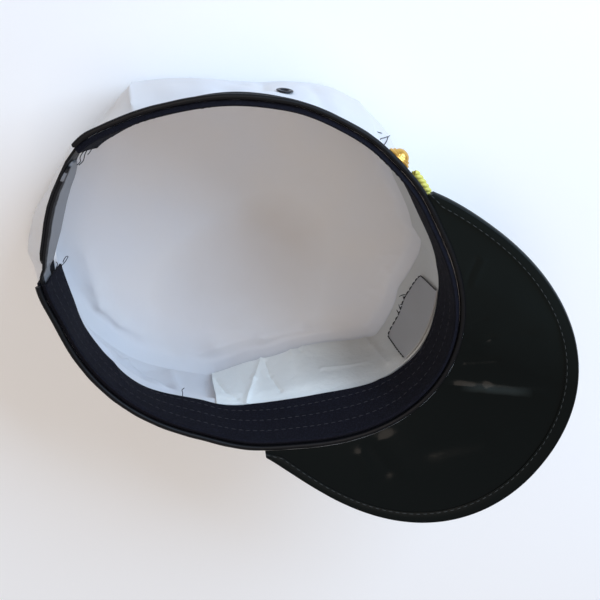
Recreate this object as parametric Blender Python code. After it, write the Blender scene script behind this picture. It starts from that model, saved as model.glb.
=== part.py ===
"""A sailor's peaked cap with a soft white crown, a black band and a glossy black peak.

The cap lies upside down, as it does when it is put on a table: the flat of the crown's tip rests
at z = 0, the head opening faces +Z and the peak points towards -Y. Metres, +Z up. Angles run
round the cap in degrees from the front, -Y, towards +X, which is the wearer's right. A drop is a
depth below the rim, and an inset runs inwards from the piping, square to the cap's outline.
"""
import math

import bmesh
import bpy
from mathutils import Matrix, Vector

MM = 0.001
STEP = 4.5                      # degrees between the columns of a piece that runs round the cap
CLEARANCE = 0.3 * MM            # between pieces that touch on the real cap

# The whole cap
HEAD_RADIUS = 93.5 * MM         # mean radius over the piping, for a head of 57 to 58 cm
CAP_DEPTH = 100 * MM            # from the rim down to the flat of the crown's tip
SEAM_RISE = 10 * MM             # height of the seam between crown side and tip
RIM_WAVES = (                   # waves round the rim, cosine and sine share of HEAD_RADIUS
    (1, 0.066, 0.002),
    (2, 0.096, -0.011),
    (3, 0.015, -0.008),
    (4, 0.020, -0.016),
    (5, 0.004, 0.004),
)
RIM_BUMPS = (                   # angle, half width in degrees, share of HEAD_RADIUS outwards
    (-158, 16, 0.028),          # the band's ends stand out on both sides of the snap strap
    (-66, 18, 0.017),
    (50, 16, 0.013),
    (82, 18, -0.013),
    (118, 22, 0.013),
    (161, 13, 0.022),
)
RING_LEANS = (                  # angle, how much the band narrows, as a share of the drop
    (-180, 0.09),
    (-155, 0.06),
    (-130, 0.00),
    (-105, -0.04),
    (-79, 0.06),
    (-60, 0.16),
    (-38, 0.28),                # the band is pressed in beside the front
    (-15, 0.13),
    (0, 0.08),
    (18, 0.01),
    (45, 0.00),
    (60, 0.02),
    (78, 0.08),
    (100, 0.12),
    (140, 0.16),
    (160, 0.13),
)

# The rim and its layers, from outside in
PIPING_DIAMETER = 2.8 * MM
PIPING_SIDES = 6
BAND_INSET = 0.9 * MM           # the piping stands out past the band by this much
BAND_THICK = 1.2 * MM
BAND_HEIGHT = 36 * MM
CLOTH_THICK = 1.5 * MM          # crown side and tip
SWEATBAND_THICK = 1.4 * MM
SWEATBAND_HEIGHT = 30 * MM
SWEATBAND_LIP = 2.4 * MM        # height of the folded lip that meets the piping
SWEATBAND_EASE = 0.25 * MM      # the lip's inner edge is rounded back by this much
STIFFENER_THICK = 1.2 * MM
STIFFENER_BELOW = 1.2 * MM      # the stiffener starts this far below the sweatband
STIFFENER_ABOVE_SEAM = 2 * MM
STIFFENER_FROM = -76.5          # degrees
STIFFENER_TO = 72.0

# The crown's dents and folds: how far it leaves the band's cone, in shares of CROWN_BULGE
CROWN_BULGE = 10 * MM
CROWN_FOLDS = (                 # angle, belly share at half depth, share at the seam
    (-180, 0.3, 0.50),
    (-170, 0.4, 1.05),
    (-162, 0.5, 1.90),
    (-153, 0.6, 2.50),
    (-138, 0.5, 2.15),
    (-118, 0.4, 1.60),
    (-95, 0.3, 1.30),
    (-76, 0.1, 1.20),
    (-62, 0.1, 0.40),
    (-54, 0.1, 0.15),
    (-41, 0.0, -0.10),
    (-30, 0.0, -0.10),
    (-18, 0.0, 0.55),
    (0, 0.0, -0.43),
    (18, 0.0, 0.47),
    (22.5, 0.0, 0.05),
    (40, 0.1, 0.00),
    (55, 0.2, 0.72),
    (75, 0.2, 0.72),
    (90, 0.2, 0.20),
    (104, 0.1, -0.14),
    (114, 0.2, -0.06),
    (128, 0.3, 0.30),
    (146, 0.3, 0.75),
    (158, 0.2, 0.15),
    (168, 0.2, 0.10),
)
TIP_PROFILE = (                 # share of the seam's radius, share of SEAM_RISE, outside of the tip
    (0.990, 0.50),
    (0.930, 0.13),
    (0.840, 0.00),
)
FOLD_MARGIN = 2 * MM            # the cloth runs on straight this far past the band's edge
CROWN_ROWS = 5                  # rows of faces between that line and the seam

# The opening at the back, its snap strap and the arch in the crown
GAP_MIDDLE = 182.25             # degrees
GAP_HALF = 20.25
STRAP_TUCK = 2.5                # degrees that a strap reaches in between band and sweatband
ARCH_MARGIN = 2.0               # degrees of cut-out cloth past the strap's hidden end
ARCH_OPENING = 19 * MM          # open height under the strap, at the middle
ARCH_POWER = 6                  # how square the arch's corners are
ARCH_COLUMNS = (1.0, 0.995, 0.96)       # extra columns at its sides, in shares of its half width
STRAP_BELOW = 0.5 * MM          # the strap's upper edge lies this far below the sweatband's lip
STRAP_HEIGHT = 16 * MM
STRAP_THICK = 1.2 * MM
STRAP_END_GAP = 4.5             # degrees from a strap's free end to the other end of the opening
STRAP_JOG = 2.5                 # degrees over which the inner strap steps out to its sewn end
STRAP_JOG_GAP = 0.5             # degrees from the outer strap's free end to that step
STRAP_LEAN = 0.2                # how much a strap leans inwards in the middle, as a share of its height
STRAP_ROUND = (0.0, 0.12, 0.4)  # columns of a strap's round end, in shares of its radius
STRAP_BLUNT = 0.35              # share of its half height that a strap keeps at its very end
PEG_COUNT = 5
PEG_DIAMETER = 3.6 * MM
PEG_PROUD = 1.2 * MM            # a peg's tip stands out past the outer strap by this much
PEG_SIDES = 12

# The peak
PEAK_MIDDLE = -7.6              # degrees, the peak is sewn on a little off the crown's middle
PEAK_HALF = 57.3
PEAK_SKEW = 0.08                # the peak reaches farthest this share of PEAK_HALF to one side
PEAK_REACH = 57.4 * MM          # level distance from the piping to the peak's edge, at its middle
PEAK_SLOPE = 0.40               # rise for each unit of reach
PEAK_THICK = 1.6 * MM
PEAK_DROP = 1.5 * MM            # drop of the board's middle where it leaves the rim
PEAK_ROUND_RIGHT = 0.96         # power of the cosine that draws the edge on each side
PEAK_ROUND_LEFT = 1.50
PEAK_SHOULDER = 0.074           # share that the edge gains halfway from its middle to its ends
PEAK_TRIM_RIGHT = 1.5           # degrees that the board stays off the pointed ends of that edge
PEAK_TRIM_LEFT = 4.2
PEAK_ROWS = 3
BINDING_WIDTH = 6.0 * MM
BINDING_THICK = 0.7 * MM
BINDING_NARROW = 0.35           # at the peak's ends it still leaves this share of the reach free
BINDING_CORNER = 0.6            # share of the binding's inner half height where its bend starts

# Trim
CORD_DIAMETER = 4.0 * MM
CORD_DROP = 13 * MM
CORD_SIDES = 8
BUTTON_DIAMETER = 12.5 * MM
BUTTON_RISE = 5.5 * MM
BUTTON_DROP = 18 * MM
BUTTON_MIDDLE = -4.0            # degrees, halfway between the two buttons
BUTTON_HALF = 62.5
BUTTON_SIDES = 16
CORD_END_GAP = 0.75             # degrees that the cord stays clear of a button, past the clearance
BUTTON_PROFILE = (              # share of the button's radius, share of its rise
    (0.94, 0.00),
    (1.00, 0.14),
    (0.96, 0.30),
    (0.84, 0.36),
    (0.76, 0.52),
    (0.50, 0.83),
    (0.22, 0.97),
)
EYELET_DIAMETER = 8.6 * MM
EYELET_HOLE = 4.0 * MM
EYELET_BARREL = 0.6 * MM        # wall of the tube that passes through the cloth
EYELET_FLANGE = 0.6 * MM
EYELET_SEAT = 0.45 * MM         # from the curved cloth to the flat flange, along the middle line
EYELET_MARGIN = 13.3 * MM       # cloth between the band's edge and the eyelet
EYELET_TAPER = 0.92             # share of a flange's radius that its flat face has
EYELET_SIDES = 12
EYELET_MIDDLE = 96.5            # degrees
BADGE_MIDDLE = -0.7             # degrees
BADGE_WIDTH = 40 * MM
BADGE_HEIGHT = 33 * MM
BADGE_THICK = 1.6 * MM
BADGE_CORNER = 6 * MM
BADGE_MARGIN = 1.2 * MM         # cloth between the band's edge and the badge
BADGE_COLUMNS = 12
BADGE_BLUNT = 0.8               # share of its corner arcs' depth at the badge's very sides
BACKING_THICK = 0.8 * MM
BACKING_RIM = 1.0 * MM          # the backing is wider than the badge by this much all round

# Insets and drops that follow from the sizes above
CLOTH_INSET = BAND_INSET + BAND_THICK + CLEARANCE
LINING_INSET = CLOTH_INSET + CLOTH_THICK + CLEARANCE
BACKING_INSET = LINING_INSET + STIFFENER_THICK + CLEARANCE
UNDER_PIPING = PIPING_DIAMETER + CLEARANCE
SEAM_DROP = CAP_DEPTH - SEAM_RISE
FOLD_DROP = BAND_HEIGHT + FOLD_MARGIN
STIFFENER_TOP = SWEATBAND_HEIGHT + STIFFENER_BELOW
ARCH_HALF = GAP_HALF + STRAP_TUCK + ARCH_MARGIN
STRAP_TOP = UNDER_PIPING + STRAP_BELOW
ARCH_DROP = STRAP_TOP + STRAP_HEIGHT + ARCH_OPENING
GAP_FROM = GAP_MIDDLE - GAP_HALF
GAP_TO = GAP_MIDDLE + GAP_HALF
BUTTON_RIGHT = BUTTON_MIDDLE + BUTTON_HALF
BUTTON_LEFT = BUTTON_MIDDLE - BUTTON_HALF
EYELET_DROP = BAND_HEIGHT + EYELET_MARGIN + EYELET_DIAMETER / 2


def clear_scene():
    """Takes every object out of the open file."""
    for thing in list(bpy.data.objects):
        bpy.data.objects.remove(thing, do_unlink=True)


def material(name, colour, roughness, metallic=0.0):
    """A plain Principled material."""
    made = bpy.data.materials.new(name)
    made.use_nodes = True
    shader = made.node_tree.nodes["Principled BSDF"]
    shader.inputs["Base Color"].default_value = (*colour, 1.0)
    shader.inputs["Roughness"].default_value = roughness
    shader.inputs["Metallic"].default_value = metallic
    made.diffuse_color = (*colour, 1.0)
    return made


def add_object(name, mesh_data, finish, smooth_angle=35.0):
    """Turns a bmesh into an object with outward faces and smooth shading."""
    bmesh.ops.recalc_face_normals(mesh_data, faces=mesh_data.faces)
    mesh = bpy.data.meshes.new(name)
    mesh_data.to_mesh(mesh)
    mesh_data.free()
    mesh.shade_smooth()
    mesh.set_sharp_from_angle(angle=math.radians(smooth_angle))
    mesh.materials.append(finish)
    thing = bpy.data.objects.new(name, mesh)
    bpy.context.scene.collection.objects.link(thing)
    return thing


def slab(name, outside, inside, finish, closed=False, capped=False):
    """Closed solid between two matching grids of points, the two faces of a sheet.

    A grid is a list of columns. A closed one runs all the way round, and a capped one is filled
    across its last row, as the bottom of a dish is.
    """
    solid = bmesh.new()
    skins = [[[solid.verts.new(point) for point in column] for column in grid]
             for grid in (outside, inside)]
    columns = len(outside)
    rows = len(outside[0])
    pairs = [(i, (i + 1) % columns) for i in range(columns if closed else columns - 1)]
    for i, k in pairs:
        for j in range(rows - 1):
            for skin in skins:
                solid.faces.new((skin[i][j], skin[k][j], skin[k][j + 1], skin[i][j + 1]))
        for j in ((0,) if capped else (0, rows - 1)):
            solid.faces.new((skins[0][i][j], skins[0][k][j], skins[1][k][j], skins[1][i][j]))
    if capped:
        for skin in skins:
            solid.faces.new([column[-1] for column in skin])
    if not closed:
        for i in (0, columns - 1):
            for j in range(rows - 1):
                solid.faces.new((skins[0][i][j], skins[0][i][j + 1],
                                 skins[1][i][j + 1], skins[1][i][j]))
    return add_object(name, solid, finish)


def tube(name, sections, finish, closed=False):
    """Closed solid through a row of sections, each a loop of as many points."""
    solid = bmesh.new()
    loops = [[solid.verts.new(point) for point in section] for section in sections]
    count = len(loops)
    sides = len(loops[0])
    for i in range(count if closed else count - 1):
        k = (i + 1) % count
        for j in range(sides):
            m = (j + 1) % sides
            solid.faces.new((loops[i][j], loops[k][j], loops[k][m], loops[i][m]))
    if not closed:
        solid.faces.new(loops[0])
        solid.faces.new(loops[-1])
    return add_object(name, solid, finish)


def rim_bump(angle):
    """How far the rim leaves its waves; the crown eases back to them down to its seam."""
    share = 0.0
    for middle, half, height in RIM_BUMPS:
        off = min(1.0, abs((angle - middle + 180.0) % 360.0 - 180.0) / half)
        share += height * (0.5 + 0.5 * math.cos(math.pi * off))
    return HEAD_RADIUS * share


def rim_radius(angle):
    """Distance from the middle of the head opening to the outside of the piping."""
    turn = math.radians(angle)
    share = 1.0
    for waves, cosine, sine in RIM_WAVES:
        share += cosine * math.cos(waves * turn) + sine * math.sin(waves * turn)
    return HEAD_RADIUS * share + rim_bump(angle)


def table_at(table, angle):
    """The two rows of a table on either side of an angle, and the share of the way between."""
    turned = (angle + 180.0) % 360.0 - 180.0
    rows = table + ((table[0][0] + 360, *table[0][1:]),)
    for low, high in zip(rows, rows[1:]):
        if turned <= high[0]:
            break
    return low, high, (turned - low[0]) / (high[0] - low[0])


def ring_lean(angle):
    """How much the band narrows with its drop, eased from row to row."""
    low, high, share = table_at(RING_LEANS, angle)
    return low[1] + (high[1] - low[1]) * share * share * (3 - 2 * share)


def crown_fold(angle, depth):
    """How far the crown leaves the band's cone; depth is 0 where the folds start, 1 at the seam."""
    low, high, share = table_at(CROWN_FOLDS, angle)
    belly = low[1] + share * (high[1] - low[1])
    seam = low[2] + share * (high[2] - low[2])
    return CROWN_BULGE * (belly * 4.0 * depth * (1.0 - depth) + seam * depth)


def outline(angle, drop):
    """Point of the cap's outermost line at an angle and a drop."""
    radius = rim_radius(angle) - ring_lean(angle) * min(drop, FOLD_DROP)
    if drop > FOLD_DROP:
        depth = (drop - FOLD_DROP) / (SEAM_DROP - FOLD_DROP)
        radius += crown_fold(angle, depth) - rim_bump(angle) * depth
    turn = math.radians(angle)
    return Vector((radius * math.sin(turn), -radius * math.cos(turn), CAP_DEPTH - drop))


def outwards(angle, drop):
    """Level direction, square to the outline."""
    along = outline(angle + STEP / 2, drop) - outline(angle - STEP / 2, drop)
    return Vector((along.y, -along.x, 0.0)).normalized()


def shell(angle, drop, inset):
    """Point of the cap's wall, an inset inside the outline."""
    return outline(angle, drop) - outwards(angle, drop) * inset


def stations(start, end):
    """Both ends of a range of angles and the full steps between them, which all pieces share."""
    short = STEP / 5
    first = math.ceil((start + short) / STEP)
    last = math.floor((end - short) / STEP)
    return [start, *(STEP * i for i in range(first, last + 1)), end]


def round_the_rim():
    """Angles of a piece that runs round the head opening and leaves the gap at the back."""
    return stations(GAP_TO - 360.0, GAP_FROM)


def spread(first, last, count):
    """Evenly spaced values from first to last."""
    return [first + (last - first) * i / (count - 1) for i in range(count)]


def arch_top(angle):
    """Drop of the crown's raw edge: just under the piping, and deep in the arch at the back."""
    off = abs((angle - GAP_MIDDLE + 180.0) % 360.0 - 180.0) / ARCH_HALF
    if off >= 1.0:
        return UNDER_PIPING
    return UNDER_PIPING + (ARCH_DROP - UNDER_PIPING) * (1.0 - off ** ARCH_POWER) ** (1 / ARCH_POWER)


def crown_angles():
    """Columns of the crown side, with a few more where the arch's sides stand up."""
    angles = set(round(angle, 4) for angle in stations(-180.0, 180.0)[:-1])
    for side in (-1, 1):
        for share in ARCH_COLUMNS:
            angles.add(round((GAP_MIDDLE + side * share * ARCH_HALF + 180.0) % 360.0 - 180.0, 4))
    return sorted(angles)


def crown_rows(knee=FOLD_DROP):
    """Drops from where the folds start, or from a lower knee, down to the seam."""
    return spread(knee, SEAM_DROP, CROWN_ROWS + 1)


def ring_drops(end):
    """Drops of a ring piece: under the piping, half way down the band, and its own end."""
    half = [BAND_HEIGHT / 2] if end > BAND_HEIGHT / 2 + CLOTH_THICK else []
    return [UNDER_PIPING, *half, end]


def crown_drops(angle):
    """Drops of one column of the crown side; the arch at the back pushes its rows down."""
    top = arch_top(angle)
    knee = max(FOLD_DROP, top + CLOTH_THICK)
    squeeze = (knee - top) / (FOLD_DROP - UNDER_PIPING)
    rows = [top + (drop - UNDER_PIPING) * squeeze for drop in ring_drops(FOLD_DROP)]
    return rows[:-1] + crown_rows(knee)


def build_crown_side(finish):
    """The white wall of the crown, from under the piping down to the tip's seam."""
    columns = [(angle, crown_drops(angle)) for angle in crown_angles()]
    outside = [[shell(angle, drop, CLOTH_INSET) for drop in drops] for angle, drops in columns]
    inside = [[shell(angle, drop, CLOTH_INSET + CLOTH_THICK) for drop in drops]
              for angle, drops in columns]
    side = slab("crown_side", outside, inside, finish, closed=True)
    cutter = eyelet_cutter()
    cut = side.modifiers.new("eyelet hole", "BOOLEAN")
    cut.object = cutter
    cut.operation = "DIFFERENCE"
    cut.solver = "EXACT"
    return side


def build_crown_tip(finish):
    """The oval top of the crown, flat where it rests and turned up to the seam."""
    seam_edge = SEAM_RISE - CLEARANCE
    profile = [(1.0, seam_edge)] + [(share, rise * SEAM_RISE) for share, rise in TIP_PROFILE]
    outside = []
    inside = []
    for angle in stations(-180.0, 180.0)[:-1]:
        edge = shell(angle, SEAM_DROP, CLOTH_INSET)
        level = Vector((edge.x, edge.y, 0.0))
        radius = level.length
        column = [(radius * share, height) for share, height in profile]
        outside.append([level * (r / radius) + Vector((0, 0, z)) for r, z in column])
        inner = []
        for j, (r, z) in enumerate(column):
            before = column[max(0, j - 1)]
            after = column[min(len(column) - 1, j + 1)]
            if j == 0:
                before, after = (r, z + 1.0), (r, z)
            if j == len(column) - 1:
                before, after = (r, z), (r - 1.0, z)
            run = Vector((after[0] - before[0], after[1] - before[1])).normalized()
            inner.append((r + run.y * CLOTH_THICK, z - run.x * CLOTH_THICK))
        inside.append([level * (r / radius) + Vector((0, 0, z)) for r, z in inner])
    return slab("crown_tip", outside, inside, finish, closed=True, capped=True)


def build_sheet(name, angles, drops, inset, thick, finish):
    """A sheet that follows the cap's wall over a range of angles and drops."""
    outside = [[shell(angle, drop, inset) for drop in drops] for angle in angles]
    inside = [[shell(angle, drop, inset + thick) for drop in drops] for angle in angles]
    return slab(name, outside, inside, finish)


def build_stiffener(finish):
    """The white non-woven sheet that keeps the crown's front and sides up."""
    drops = [STIFFENER_TOP] + crown_rows()[:-1] + [SEAM_DROP - STIFFENER_ABOVE_SEAM]
    angles = stations(STIFFENER_FROM, STIFFENER_TO)
    return build_sheet("crown_stiffener", angles, drops, LINING_INSET, STIFFENER_THICK, finish)


def build_band(finish):
    """The black band outside the crown's lower edge."""
    drops = ring_drops(BAND_HEIGHT)
    return build_sheet("band", round_the_rim(), drops, BAND_INSET, BAND_THICK, finish)


def build_sweatband(finish):
    """The black tape inside the rim, with a folded lip that meets the piping."""
    lip = PIPING_DIAMETER + CLEARANCE
    back = LINING_INSET + SWEATBAND_THICK
    rows = [                    # drop, inset outside, inset inside
        (CLEARANCE, lip, back - SWEATBAND_EASE),
        (SWEATBAND_LIP, lip, back),
        *((drop, LINING_INSET, back) for drop in ring_drops(SWEATBAND_HEIGHT)),
    ]
    angles = round_the_rim()
    outside = [[shell(angle, drop, outer) for drop, outer, _ in rows] for angle in angles]
    inside = [[shell(angle, drop, inner) for drop, _, inner in rows] for angle in angles]
    return slab("sweatband", outside, inside, finish)


def round_section(angle, drop, inset, diameter, sides):
    """Loop of points round a cord that follows the cap's wall."""
    centre = shell(angle, drop, inset)
    out = outwards(angle, drop)
    turns = [2 * math.pi * (j + 0.5) / sides for j in range(sides)]
    up = Vector((0, 0, 1))
    return [centre + (out * math.cos(turn) + up * math.sin(turn)) * diameter / 2 for turn in turns]


def build_piping(finish):
    """The covered cord along the rim, the cap's outermost line."""
    radius = PIPING_DIAMETER / 2
    sections = [round_section(angle, radius, radius, PIPING_DIAMETER, PIPING_SIDES)
                for angle in round_the_rim()]
    return tube("piping", sections, finish)


def peak_reach(angle):
    """Level distance from the piping to the peak's edge."""
    side = (angle - PEAK_MIDDLE) / PEAK_HALF
    side += PEAK_SKEW * (1.0 - side * side)
    power = PEAK_ROUND_LEFT if side < 0 else PEAK_ROUND_RIGHT
    turn = math.pi / 2 * min(1.0, abs(side))
    shoulder = 1.0 + PEAK_SHOULDER * math.sin(2.0 * turn) ** 2
    return PEAK_REACH * math.cos(turn) ** power * shoulder


def peak_point(angle, reach, lift):
    """Point of the peak: reach runs out from the rim, lift is square to the board's slope."""
    turn = math.radians(angle)
    level = Vector((math.sin(turn), -math.cos(turn), 0.0))
    slope = math.atan(PEAK_SLOPE)
    start = rim_radius(angle) + CLEARANCE
    out = start + reach - lift * math.sin(slope)
    height = CAP_DEPTH - PEAK_DROP + reach * PEAK_SLOPE + lift * math.cos(slope)
    return level * out + Vector((0, 0, height))


def peak_angles():
    """Columns of the peak; the outermost ones stay off its pointed ends."""
    return stations(PEAK_MIDDLE - PEAK_HALF + PEAK_TRIM_LEFT,
                    PEAK_MIDDLE + PEAK_HALF - PEAK_TRIM_RIGHT)


def peak_board_reach(angle):
    """Reach of the board alone, which ends inside the binding's fold."""
    return max(CLEARANCE, peak_reach(angle) - BINDING_THICK - CLEARANCE)


def build_peak(finish):
    """The stiff glossy board of the peak."""
    rows = spread(0.0, 1.0, PEAK_ROWS + 1)
    grids = [[[peak_point(angle, peak_board_reach(angle) * row, side * PEAK_THICK / 2)
               for row in rows] for angle in peak_angles()] for side in (1, -1)]
    return slab("peak", grids[0], grids[1], finish)


def build_binding(finish):
    """The folded edging sewn round the peak, a channel over the board's edge."""
    hollow = PEAK_THICK / 2 + CLEARANCE
    outer = hollow + BINDING_THICK
    sections = []
    for angle in peak_angles():
        edge = peak_reach(angle)
        wall = edge - BINDING_THICK
        lap = max(wall - BINDING_WIDTH + BINDING_THICK, wall * BINDING_NARROW)
        bend = hollow * BINDING_CORNER
        loop = ((lap, outer), (wall, outer), (edge, bend), (edge, -bend),
                (wall, -outer), (lap, -outer), (lap, -hollow), (wall, -hollow),
                (wall, hollow), (lap, hollow))
        sections.append([peak_point(angle, reach, lift) for reach, lift in loop])
    return tube("peak_binding", sections, finish)


def strap_columns(start, end, free_end):
    """Angles and half heights of a strap; its free end is a half circle."""
    radius = STRAP_HEIGHT / 2
    along = rim_radius(GAP_MIDDLE) * math.radians(1.0)
    angles = stations(start, end)
    towards = 1 if free_end == start else -1
    for share in STRAP_ROUND:
        angles.append(free_end + towards * share * radius / along)
    columns = []
    for angle in sorted(set(round(angle, 4) for angle in angles)):
        left = abs(angle - free_end) * along
        bite = max(0.0, 1.0 - left / radius)
        half = radius * math.sqrt(max(0.0, 1.0 - bite * bite))
        columns.append((angle, max(half, radius * STRAP_BLUNT)))
    return columns


def strap_lean(angle):
    """How much a strap leans inwards with its drop: most in the middle, not at all where it is sewn."""
    share = (angle - GAP_FROM) / (GAP_TO - GAP_FROM)
    return STRAP_LEAN * math.sin(math.pi * min(1.0, max(0.0, share)))


def build_strap(name, columns, inset_at, finish):
    """A plastic strap across the back opening."""
    middle = STRAP_TOP + STRAP_HEIGHT / 2
    grids = []
    for deeper in (0.0, STRAP_THICK):
        grids.append([[shell(angle, drop, inset_at(angle) + deeper
                             + strap_lean(angle) * (drop - STRAP_TOP))
                       for drop in (middle - half, middle, middle + half)]
                      for angle, half in columns])
    return slab(name, grids[0], grids[1], finish)


def peg_angles():
    """Angles of the pegs, spread over the stretch where the two straps lie on each other."""
    start = GAP_FROM + STRAP_END_GAP
    pitch = (GAP_TO - STRAP_END_GAP - start) / PEG_COUNT
    return [start + pitch * (i + 0.5) for i in range(PEG_COUNT)]


def peg_row(name, diameter, deep, proud, finish):
    """A row of round bars that stand square to the straps, as one object."""
    row = bmesh.new()
    middle = STRAP_TOP + STRAP_HEIGHT / 2
    for angle in peg_angles():
        out = outwards(angle, middle)
        side = Vector((0, 0, 1)).cross(out)
        leaned = strap_lean(angle) * STRAP_HEIGHT / 2
        ends = []
        for inset in (deep, proud):
            centre = shell(angle, middle, inset + leaned)
            turns = [2 * math.pi * j / PEG_SIDES for j in range(PEG_SIDES)]
            ends.append([row.verts.new(centre + (side * math.cos(turn)
                         + Vector((0, 0, 1)) * math.sin(turn)) * diameter / 2) for turn in turns])
        for j in range(PEG_SIDES):
            k = (j + 1) % PEG_SIDES
            row.faces.new((ends[0][j], ends[0][k], ends[1][k], ends[1][j]))
        row.faces.new(ends[0])
        row.faces.new(ends[1])
    return add_object(name, row, finish)


def helper(thing):
    """Marks an object as a cutter or a guide that is no piece of the cap."""
    thing.hide_render = True
    thing.display_type = "WIRE"
    return thing


def build_snap_straps(finish):
    """The outer strap with its holes and the inner one with the pegs that are pressed through."""
    outer_inset = CLOTH_INSET
    inner_inset = outer_inset + STRAP_THICK + CLEARANCE

    def outer_path(_):
        return outer_inset

    outer_end = GAP_TO - STRAP_END_GAP
    jog_start = outer_end + STRAP_JOG_GAP

    def inner_path(angle):
        share = min(1.0, max(0.0, (angle - jog_start) / STRAP_JOG))
        return inner_inset + (outer_inset - inner_inset) * share * share * (3 - 2 * share)

    holes = build_strap("strap_with_holes",
                        strap_columns(GAP_FROM - STRAP_TUCK, outer_end, outer_end),
                        outer_path, finish)
    reach = STRAP_THICK
    cutter = helper(peg_row("peg_hole_cutter", PEG_DIAMETER + 2 * CLEARANCE,
                            outer_inset + STRAP_THICK + reach, outer_inset - reach, finish))
    cut = holes.modifiers.new("peg holes", "BOOLEAN")
    cut.object = cutter
    cut.operation = "DIFFERENCE"
    cut.solver = "EXACT"

    inner_end = GAP_FROM + STRAP_END_GAP
    columns = strap_columns(inner_end, GAP_TO + STRAP_TUCK, inner_end)
    for angle in spread(jog_start, jog_start + STRAP_JOG, 3):
        columns.append((angle, STRAP_HEIGHT / 2))
    pegs_strap = build_strap("strap_with_pegs", sorted(set(columns)), inner_path, finish)
    pegs = helper(peg_row("peg_row", PEG_DIAMETER, inner_inset + STRAP_THICK / 2,
                          outer_inset - PEG_PROUD, finish))
    join = pegs_strap.modifiers.new("pegs", "BOOLEAN")
    join.object = pegs
    join.operation = "UNION"
    join.solver = "EXACT"


def build_cord(finish):
    """The gold cord across the front of the band, from button to button."""
    beside = math.degrees((BUTTON_DIAMETER / 2 + CLEARANCE) / HEAD_RADIUS) + CORD_END_GAP
    sections = []
    for angle in stations(BUTTON_LEFT + beside, BUTTON_RIGHT - beside):
        away = (CORD_DIAMETER / 2 + CLEARANCE) * math.hypot(1.0, ring_lean(angle))
        sections.append(round_section(angle, CORD_DROP, BAND_INSET - away,
                                      CORD_DIAMETER, CORD_SIDES))
    return tube("front_cord", sections, finish)


def wall_frame(angle, drop, inset):
    """Matrix of a spot on the wall: its Z is square to the wall, pointing out."""
    spot = shell(angle, drop, inset)
    along = shell(angle + STEP / 4, drop, inset) - shell(angle - STEP / 4, drop, inset)
    down = shell(angle, drop + MM, inset) - shell(angle, drop - MM, inset)
    x_axis = along.normalized()
    z_axis = down.cross(along).normalized()
    if z_axis.dot(outwards(angle, drop)) < 0:
        z_axis.negate()
    y_axis = z_axis.cross(x_axis)
    turn = Matrix((x_axis, y_axis, z_axis)).transposed().to_4x4()
    return Matrix.Translation(spot) @ turn


def ring_points(frame, radius, height, sides):
    """Points of a level circle in a wall frame."""
    return [frame @ Vector((radius * math.cos(turn), radius * math.sin(turn), height))
            for turn in (2 * math.pi * j / sides for j in range(sides))]


def build_button(name, angle, finish):
    """A domed metal button with a raised rim, on the outside of the band."""
    frame = wall_frame(angle, BUTTON_DROP, BAND_INSET - CLEARANCE)
    sections = [ring_points(frame, BUTTON_DIAMETER / 2 * share, BUTTON_RISE * rise, BUTTON_SIDES)
                for share, rise in BUTTON_PROFILE]
    return tube(name, sections, finish)


def eyelet_frame():
    """Matrix of the eyelet, at the outside of the crown's cloth."""
    return wall_frame(EYELET_MIDDLE, EYELET_DROP, CLOTH_INSET)


def build_eyelet(name, finish):
    """A turned ring that grips the cloth between its two flanges."""
    frame = eyelet_frame()
    hole = EYELET_HOLE / 2
    barrel = hole + EYELET_BARREL
    rim = EYELET_DIAMETER / 2
    near = EYELET_SEAT
    far = -CLOTH_THICK - near
    flat = rim * EYELET_TAPER
    loop = ((hole, near + EYELET_FLANGE), (flat, near + EYELET_FLANGE), (rim, near),
            (barrel, near), (barrel, far), (rim, far), (flat, far - EYELET_FLANGE),
            (hole, far - EYELET_FLANGE))
    rings = [ring_points(frame, radius, height, EYELET_SIDES) for radius, height in loop]
    sections = [[ring[j] for ring in rings] for j in range(EYELET_SIDES)]
    return tube(name, sections, finish, closed=True)


def eyelet_cutter():
    """A round bar that cuts the eyelet's hole out of the crown side."""
    radius = EYELET_HOLE / 2 + EYELET_BARREL + CLEARANCE
    sections = [ring_points(eyelet_frame(), radius, height, EYELET_SIDES)
                for height in (EYELET_DIAMETER / 2, -EYELET_DIAMETER / 2)]
    finish = material("cutter", (0.5, 0.5, 0.5), 0.5)
    return helper(tube("eyelet_hole_cutter", sections, finish))


def facet(angle, drop, inset):
    """Point of the wall between the columns of the crown side, where its faces lie flat."""
    column = math.floor(angle / STEP) * STEP
    share = (angle - column) / STEP
    return shell(column, drop, inset).lerp(shell(column + STEP, drop, inset), share)


def build_patch(name, width, top, bottom, top_corner, inset, thick, finish):
    """A rectangle that follows the crown's front, with corners drawn as arcs."""
    radius = rim_radius(BADGE_MIDDLE)
    middle = [row for row in crown_rows() if top + top_corner < row < bottom - BADGE_CORNER]
    columns = []
    for across in spread(-1.0, 1.0, BADGE_COLUMNS + 1):
        x = across * width / 2
        into = max(0.0, abs(x) - (width / 2 - BADGE_CORNER)) / BADGE_CORNER
        trim = min(BADGE_BLUNT, 1.0 - math.sqrt(max(0.0, 1.0 - into * into)))
        drops = [top + trim * top_corner, *middle, bottom - trim * BADGE_CORNER]
        columns.append((BADGE_MIDDLE + math.degrees(x / radius), drops))
    grids = [[[facet(angle, drop, inset + deeper) for drop in drops] for angle, drops in columns]
             for deeper in (0.0, thick)]
    return slab(name, grids[0], grids[1], finish)


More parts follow.
